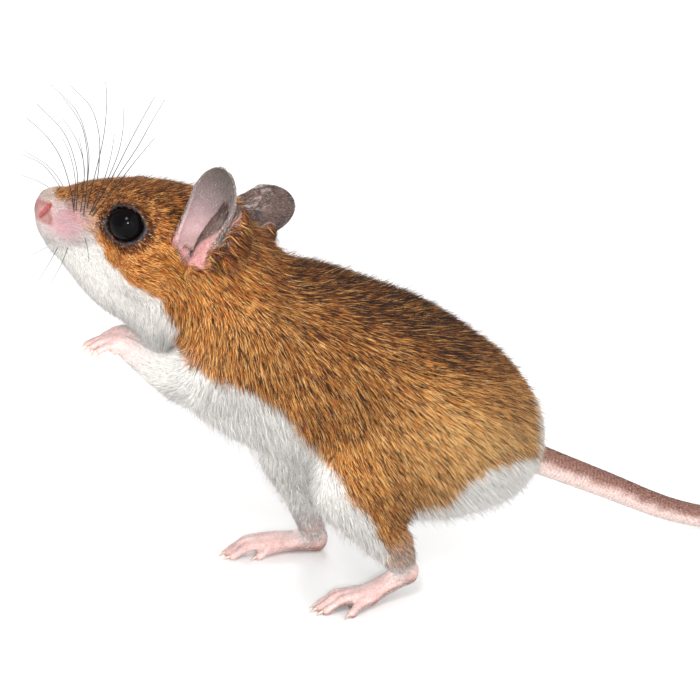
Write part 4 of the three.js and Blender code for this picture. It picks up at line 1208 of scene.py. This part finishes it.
def unwrapped(piece):
    """Unwraps a piece on its own shape, and gives where each corner of each triangle lies."""
    for held in bpy.context.view_layer.objects:
        held.select_set(held == piece)
    bpy.context.view_layer.objects.active = piece
    bpy.ops.object.mode_set(mode="EDIT")
    bpy.ops.mesh.select_all(action="SELECT")
    bpy.ops.uv.smart_project(angle_limit=math.radians(66), island_margin=0.001)
    bpy.ops.object.mode_set(mode="OBJECT")
    layer = piece.data.uv_layers[0]
    layer.name = "OFBake"
    uv = np.empty(len(piece.data.loops) * 2, np.float32)
    piece.data.uv_layers[0].data.foreach_get("uv", uv)
    return uv.reshape(-1, 3, 2)


def stacked(*names):
    return np.column_stack([facts[name] for name in names])


MARGIN = 1.5  # around the solids' box
RING = 0.55  # from one ring of the tail's scales to the next
low, high = [np.array(corner) * 1000 + SHIFT for corner in (cad_low, cad_high)]
skin_points, skin_quads = surface(flesh, low - MARGIN, high + MARGIN, VOXEL)
furred = (skin_points[:, 0] > -16) & (skin_points[:, 0] < 30) & (skin_points[:, 2] > 14)
skin_points, skin_faces = thinned(skin_points, skin_quads, furred, KEPT_SHARE)
skin_out = unit(slope(flesh, skin_points, 0.06))
facts = survey(skin_points, skin_out)
tail_at = closest(skin_points, [tail_form])[2] * tail_lengths[-1] * facts["tail"]
rings = (np.sin(tail_at * 2 * math.pi / RING) * 0.5 + 0.5) * facts["tail"]
tail_dark = step(-0.25, 0.45, skin_out[:, 2] + 0.12 * wander_fine(skin_points))
skin = mesh_of("skin", skin_points, skin_faces, {
    "mark": stacked("white", "dark", "gold"), "cover": stacked("fur", "ear", "tail"),
    "feature": stacked("lid", "nose", "ear_inside"), "zone": stacked("ear_up", "foot", "pad"),
    # sole carries the painted shade under the feet.
    "blush": facts["blush"], "sole": facts["heel"], "rings": rings, "streaks": facts["streaks"],
    "tail_dark": tail_dark, "nostril": facts["nostril"],
})
skin_uv = unwrapped(skin)
flesh_nodes = ["head", "lower_jaw", "nose", "neck", "trunk"] + [f"tail_{i}" for i in range(1, 5)]
for side in SIDES:
    flesh_nodes += [f"{name}_{side}" for name in ("ear", *LIMBS, "hand", "foot")]
finished(skin, skin_material(), "bare_skin", *flesh_nodes)


# ---- Eyes and claws ----
def eyeball(side, rows=32, columns=56):
    """Points and triangles of an eye: a globe with a slightly raised cornea."""
    middle, out, forward, up = eye_frame(SIDES[side])
    theta, phi = np.meshgrid(np.linspace(0, math.pi, rows + 1)[1:-1],
                             np.arange(columns) * 2 * math.pi / columns, indexing="ij")
    theta, phi = theta.ravel(), phi.ravel()
    round_it = np.cos(phi)[:, None] * forward + np.sin(phi)[:, None] * up
    way = np.cos(theta)[:, None] * out + np.sin(theta)[:, None] * round_it
    swell = EYE_RADIUS - 0.03 + 0.10 * np.exp(-(theta / 0.75) ** 2)
    front, rear = middle + out * (EYE_RADIUS + 0.07), middle - out * EYE_RADIUS
    points = np.vstack([middle + way * swell[:, None], front, rear])
    grid = np.arange((rows - 1) * columns).reshape(rows - 1, columns)
    a, b = grid[:-1], grid[1:]
    quads = np.stack([a, b, np.roll(b, -1, 1), np.roll(a, -1, 1)], -1).reshape(-1, 4)
    poles = len(points) - 2
    caps = [(poles, grid[0, j], grid[0, (j + 1) % columns]) for j in range(columns)]
    caps += [(poles + 1, grid[-1, (j + 1) % columns], grid[-1, j]) for j in range(columns)]
    triangles = np.vstack([quads[:, [0, 1, 2]], quads[:, [0, 2, 3]], np.array(caps)])
    if np.linalg.det(np.array([out, forward, up])) < 0:
        triangles = triangles[:, ::-1]
    return turned(points, 1), triangles


CLAW = {"foot": (1.55, 0.35), "hand": (1.35, 0.75)}  # length, and how much of the digit's slope it keeps
CLAW_RADII = np.array([0.26, 0.26, 0.25, 0.22, 0.19, 0.16, 0.12, 0.08, 0.05, 0.02])


def claw_path(limb, knuckle, tip, radius):
    """From inside the tip of a digit, curving down to a point above the floor."""
    reach, keeps = CLAW[limb]
    along = unit(tip - knuckle)
    level = unit(along * [1, 1, keeps])
    start = tip + along * radius * 0.35 + [0, 0, 0.12]
    points = spline([start, start + level * reach * 0.4 + [0, 0, 0.06],
                     start + level * reach * 0.75 - [0, 0, 0.12], start + level * reach - [0, 0, 0.42]], 9)
    points[:, 2] = np.maximum(points[:, 2], 0.16)
    return points


EYE_BLACKS = [(0.0015, 0.0012, 0.0016), (0.003, 0.0022, 0.0026)]
eye_black = plain_material("eye", EYE_BLACKS, 300, 0.05, specular=0.065)
for side in SIDES:
    finished(mesh_of(f"eyeball_{side}", *eyeball(side)), eye_black, "eye", f"eye_{side}")

horn = plain_material("horn", [linear(172, 140, 122), linear(214, 194, 178)], 1500, 0.3, 0.2, depth=0.00003)
for limb_name, group in (("foot", feet), ("hand", hands)):
    for side in SIDES:
        ends = group[side][1]
        paths = [claw_path(limb_name, knuckle, tip, radius) for knuckle, tip, radius, _ in ends]
        claws = mesh_of(f"claws_{limb_name}_{side}", *tubes(paths, [CLAW_RADII] * len(paths), 8))
        finished(claws, horn, "claw", *[f"claw_{limb_name}_{side}_{n}" for *_, n in ends])

# ---- Whiskers ----
# Each whisker of the left side, in the head's own frame.
WHISKERS = [
    [(-41.5, -3.6, 61.2), (-41.7, -5.0, 66.5), (-42.9, -6.5, 72.5), (-44.8, -7.5, 76.1), (-47.4, -9.0, 79.3)],
    [(-41.4, -3.6, 62.2), (-40.9, -4.6, 65.7), (-40.6, -5.6, 70.2), (-42.1, -7.0, 76.4), (-45.8, -8.0, 81.0)],
    [(-40.2, -4.4, 61.6), (-39.2, -5.2, 67.9), (-38.9, -5.8, 72.8), (-39.7, -6.0, 77.5), (-42.2, -6.0, 81.4)],
    [(-39.5, -4.4, 63.8), (-38.4, -5.0, 67.8), (-36.6, -4.5, 75.3), (-36.2, -3.5, 80.7), (-36.5, -2.5, 83.0)],
    [(-39.0, -4.8, 63.0), (-36.3, -6.5, 69.2), (-35.0, -7.5, 73.3), (-34.2, -8.5, 76.9)],
    [(-38.7, -4.8, 63.3), (-35.2, -6.5, 69.4), (-31.5, -7.5, 76.7), (-28.4, -7.0, 82.4)],
    [(-38.5, -5.0, 62.8), (-33.4, -8.0, 69.9), (-30.9, -9.5, 73.4), (-27.8, -11.0, 77.4)],
    [(-41.9, -3.4, 61.7), (-41.1, -4.5, 67.5), (-41.5, -5.2, 71.8), (-42.4, -6.0, 75.0)],
    [(-40.7, -4.0, 62.2), (-39.7, -5.0, 67.8), (-39.6, -5.6, 72.0), (-40.0, -6.2, 75.5)],
    [(-40.2, -4.5, 59.9), (-39.3, -6.0, 58.2), (-38.9, -7.0, 56.2)],
    [(-42.4, -3.4, 58.2), (-43.4, -5.0, 55.2), (-45.0, -7.0, 52.2)],
    [(-44.1, -2.8, 57.4), (-45.5, -4.0, 54.8), (-47.0, -6.0, 52.2)],
]
# The right side's lean a little further forward, and a few point ahead past the nose.
WHISKERS_AHEAD = [
    [(-43.5, 3.0, 60.5), (-44.9, 4.5, 62.9), (-48.6, 7.0, 66.4), (-52.1, 8.0, 67.6)],
    [(-43.4, 3.2, 60.3), (-44.6, 5.0, 62.8), (-47.4, 7.0, 65.9), (-51.5, 8.0, 68.1)],
    [(-44.2, 2.8, 61.0), (-46.2, 4.5, 62.8), (-49.2, 7.0, 63.6), (-52.1, 8.0, 64.2)],
]
MIRRORED = [1, 2, 4, 6, 7, 9, 10, 11]
WHISKER_STEPS = 22


def mirrored(number):
    """A left whisker on the right side, leaning forward towards its tip."""
    line = np.array(WHISKERS[number]) * [1, -1, 1]
    bend = np.linspace(0, 1, len(line))[:, None] ** 1.5
    return line + bend * [-1.2 - 0.2 * number, 0.6, -2.5 + 0.2 * number]


def whisker_radii(line):
    """Thicker for a longer whisker, and half as thick at its tip as at its root."""
    length = np.linalg.norm(np.diff(np.array(line), axis=0), axis=1).sum()
    return np.linspace(1, 0.5, WHISKER_STEPS + 1) * mix(0.05, 0.085, min(length / 22, 1))


whisker_lines = WHISKERS + WHISKERS_AHEAD + [mirrored(number) for number in MIRRORED]
whisker_paths = [turned(spline(line, WHISKER_STEPS), 1) for line in whisker_lines]
whisker_black = plain_material("whisker", [linear(16, 12, 11), linear(52, 42, 38)], 900, 0.4)
whiskers = mesh_of("whiskers", *tubes(whisker_paths, [whisker_radii(line) for line in whisker_lines], 5))
finished(whiskers, whisker_black, "coat")

# ---- The coat ----
# Each hair is a thin closed spike, with three points round its root and one at its tip.
HAIR_FACES = np.array([(0, 2, 1), (0, 1, 3), (1, 2, 3), (2, 0, 3)])
HAIR_PATCH = 0.003  # of the UV map
HAIR_UV = np.array([(0, 0), (1, 0), (0.5, 0.3), (0.5, 1)]) * HAIR_PATCH - HAIR_PATCH / 2
HAIRS_IN_LOCK = 9
GUARD_SHARE = 0.075
GUARD_LONGER = 0.35  # as a share of a hair's length
PIECES = 8
rng = np.random.default_rng(7)


class Roots:
    """Where the hairs stand: a triangle of the skin for each, and its place in the triangle."""

    def __init__(self):
        a, b, c = np.moveaxis(skin_points[skin_faces], 1, 0)
        areas = 0.5 * np.linalg.norm(np.cross(b - a, c - a), axis=1)
        wanted = areas * facts["density"][skin_faces].mean(1)
        wanted *= HAIRS / wanted.sum()
        steps = np.floor(np.cumsum(wanted) + rng.uniform()).astype(int)
        self.home = np.repeat(np.arange(len(skin_faces)), np.diff(np.concatenate([[0], steps])))
        u, v = rng.uniform(size=(2, len(self.home)))
        u = np.sqrt(u)
        self.shares = np.stack([1 - u, u * (1 - v), u * v], 1)

    def find(self, values):
        """Values held at the skin's points, found at the hairs' roots."""
        return np.einsum("hc,hc...->h...", self.shares, np.asarray(values)[skin_faces[self.home]])

    def uv(self):
        return np.einsum("hc,hcd->hd", self.shares, skin_uv[self.home])


def tree_of(points):
    tree = KDTree(len(points))
    for i, point in enumerate(points):
        tree.insert(point, i)
    tree.balance()
    return tree


def nearest_in(tree, points):
    return np.array([tree.find(point)[1] for point in points])


roots = Roots()
root, out = roots.find(skin_points), unit(roots.find(skin_out))
flow = unit(roots.find(facts["flow"]))
hair = {key: roots.find(values) for key, values in facts.items() if key not in ("flow", "density")}
hair["tail_dark"] = roots.find(tail_dark)
total = len(root)

# Neighbouring hairs lean together in small locks that share a tone.
leaders = rng.choice(total, total // HAIRS_IN_LOCK, replace=False)
lock = nearest_in(tree_of(root[leaders]), root)
leader = leaders[lock]
lock_tone = rng.normal(size=len(leaders))[lock]

swing = rng.normal(0, 0.13, total) + 0.06 * rng.normal(size=len(leaders))[lock]
way = unit(flow + np.cross(out, flow) * swing[:, None])
long = hair["length"] * rng.uniform(0.72, 1.2, total)
lift = hair["depth"] * rng.uniform(0.35, 1.12, total)
# A few guard hairs stand off the coat, most of all underneath, and longer dark ones behind the ear's flap.
guard = hair["fur"] * (rng.uniform(size=total) < GUARD_SHARE)
guard = np.maximum(guard, (hair["lashes"] > 0.35) & (rng.uniform(size=total) < 0.5))
long = long * (1 + GUARD_LONGER * guard)
below = step(0.0, 0.5, -out[:, 2])
above = step(0.3, 0.8, out[:, 2])
off_coat = guard * (0.5 + 0.6 * below + 0.4 * above) * np.clip(hair["length"] / 1.8, 0, 1)
lift = lift * (1 + 0.5 * guard) + 0.05 + off_coat


def tips():
    """Each hair's tip, held at its lift over the skin below it and drawn a little towards its lock's."""
    reached = root + way * long[:, None]
    near = nearest_in(tree_of(skin_points), reached)
    up = skin_out[near]
    end = reached - up * (np.einsum("ij,ij->i", reached - skin_points[near], up) - lift)[:, None]
    end = mix(end, end[leader] + (root - root[leader]) * 0.35, (0.16 * hair["fur"])[:, None])
    strayed = np.linalg.norm(end - root, axis=1) > long * 1.5
    end[strayed] = (root + way * long[:, None] * 0.9 + out * lift[:, None] * 0.6)[strayed]
    return end


def spikes(end):
    """The four points of each hair."""
    wide = hair["width"] * rng.uniform(0.75, 1.2, total) * (1 - 0.35 * guard)
    across = np.cross(out, way)
    base = root - out * 0.10
    half = (wide * 0.5)[:, None]
    return np.stack([base + across * half, base - across * half, base + out * half, end], 1)


def in_ear(points):
    """Whether points lie in an ear's wall or its hollow."""
    q = turned(points, -1)
    found = np.zeros(len(q), bool)
    for side in SIDES:
        t, angle, rho, radius, limit, _ = ear_polar(q, side)
        found |= (t > 0.02) & (t < 1) & (np.abs(angle) < limit) & (rho < radius)
    return found


def hair_marks(pale_tipped):
    """White, dark and gold of each hair, through which the ears, feet and tail take their own colours."""
    white = np.maximum(hair["white"] * (1 - hair["tail"]), np.clip(hair["foot"] + hair["pad"] * 0.8, 0, 1))
    white = mix(white, 1 - hair["tail_dark"], hair["tail"])
    on_rim = rng.uniform(size=total) < hair["ear_rim"] * 0.7
    pale_back = np.where(rng.uniform(size=total) < 0.3, 0.8, 0.0)
    on_ear = np.where(on_rim, 0.7, np.where(hair["ear_inside"] > 0.5, 0.75, pale_back))
    white = mix(white, on_ear, hair["ear"])
    dark_guard = 0.85 * guard * (tick < 0.6) * (1 - hair["white"])
    on_tail = np.clip(hair["tail"] * hair["tail_dark"] * 0.7 + hair["ear"], 0, 1) * 0.8
    dark = np.max([hair["dark"], dark_guard, on_tail], axis=0) * (1 - 0.75 * pale_tipped)
    return np.column_stack([white, dark, hair["gold"] * (1 - hair["ear"])])


def coat_piece(name, chosen, material):
    """One joined mesh of the chosen hairs."""
    faces = (np.arange(len(chosen))[:, None, None] * 4 + HAIR_FACES).reshape(-1, 3)
    strand = np.empty((len(chosen), 4, 3))
    strand[..., 0] = (0, 0, 0, 1)  # from root to tip
    strand[..., 1] = tone[chosen, None]
    strand[..., 2] = tick[chosen, None]
    piece = mesh_of(name, shape[chosen].reshape(-1, 3), faces, {
        "blush": np.repeat(blush[chosen], 4), "strand": strand.reshape(-1, 3),
        "mark": np.repeat(mark[chosen], 4, axis=0),
    })
    uv = np.clip(uv_root[chosen, None] + HAIR_UV, 0, 1).reshape(-1, 2)[faces.ravel()]
    layer = piece.data.uv_layers.new(name="OFBake")
    layer.data.foreach_set("uv", uv.astype(np.float32).ravel())
    finished(piece, material, "coat")


end = tips()
shape = spikes(end)
tick = rng.uniform(size=total)
pale_tipped = (tick > 0.88) * hair["fur"]
tone = 0.52 + 0.07 * lock_tone + 0.30 * rng.normal(size=total)
tone = tone + 0.05 * tone_patch(root) + 0.06 * tone_streak(root)
tone = np.clip(tone + 0.52 * hair["bright"] + 0.24 * pale_tipped, 0, 1)
mark = hair_marks(pale_tipped)
blush = np.maximum(hair["blush"], 0.3 * hair["foot"])
uv_root = roots.uv()
# Hairs of the head that would run through an ear are left out.
kept = (hair["ear"] > 0.5) | ~(in_ear(end) | in_ear(mix(root, end, 0.6)))
coat = coat_material()
order = rng.permutation(np.flatnonzero(kept))
for number, chosen in enumerate(np.array_split(order, PIECES), 1):
    coat_piece(f"coat_{number}", chosen, coat)

# ---- Floor, light and camera ----
FLOOR_HALF = 4000
PICTURE_PIXELS, PIXELS_PER_MM = 700, 6.5
SENSOR = 36
# The camera stands 0.52 m off, 22 degrees above level and 15 degrees ahead of the mouse's left side.
DISTANCE, AZIMUTH, ELEVATION = 0.52, math.radians(-15), math.radians(22)
LAMPS_AIM = (-0.02, 0, 0.035)
LAMPS = {  # place, size in metres, power in watts
    "key": ((-0.30, -0.64, 0.74), 0.26, 4.0),
    "fill": ((0.50, -0.66, 0.42), 1.2, 3.2),
    "low": ((-0.15, -0.75, 0.06), 1.0, 3.2),
    "front": ((-0.17, -0.60, 0.27), 0.06, 2.2),  # the glint in the eye
    "back": ((0.10, 0.70, 0.60), 0.5, 4.2),
}


def linked(name, data, place, forward):
    """An object at place whose -Z points forward."""
    made = bpy.data.objects.new(name, data)
    made.location = place
    made.rotation_mode = "QUATERNION"
    made.rotation_quaternion = forward.to_track_quat("-Z", "Y")
    bpy.context.scene.collection.objects.link(made)
    return made


def make_floor():
    paint = Paint("floor")
    paint.look(Base_Color=(0.86, 0.86, 0.86), Roughness=0.9, Specular_IOR_Level=0.1)
    corners = np.array([(-1, -1, 0), (1, -1, 0), (1, 1, 0), (-1, 1, 0)]) * FLOOR_HALF
    floor = mesh_of("floor", corners, [(0, 1, 2, 3)], smooth=False)
    floor.data.materials.append(paint.material)


def make_light():
    world = bpy.data.worlds.new("studio")
    world.use_nodes = True
    background = world.node_tree.nodes["Background"]
    background.inputs["Color"].default_value = (1, 1, 1, 1)
    background.inputs["Strength"].default_value = 0.70
    bpy.context.scene.world = world
    for name, (place, size, power) in LAMPS.items():
        lamp = bpy.data.lights.new(name, "AREA")
        lamp.shape, lamp.size, lamp.energy = "DISK", size, power
        linked(name, lamp, place, Vector(LAMPS_AIM) - Vector(place))


def make_camera():
    level = math.cos(ELEVATION)
    back = Vector((math.sin(AZIMUTH) * level, -math.cos(AZIMUTH) * level, math.sin(ELEVATION)))
    lens = bpy.data.cameras.new("camera")
    lens.sensor_width = SENSOR
    lens.lens = SENSOR * DISTANCE / (PICTURE_PIXELS / PIXELS_PER_MM / 1000)
    lens.clip_start, lens.clip_end = 0.02, 20
    target = Vector(placed([0, 0, 38.2]))
    bpy.context.scene.camera = linked("camera", lens, target + back * DISTANCE, -back)


make_floor()
make_light()
make_camera()
bpy.context.scene.view_settings.view_transform = "Standard"
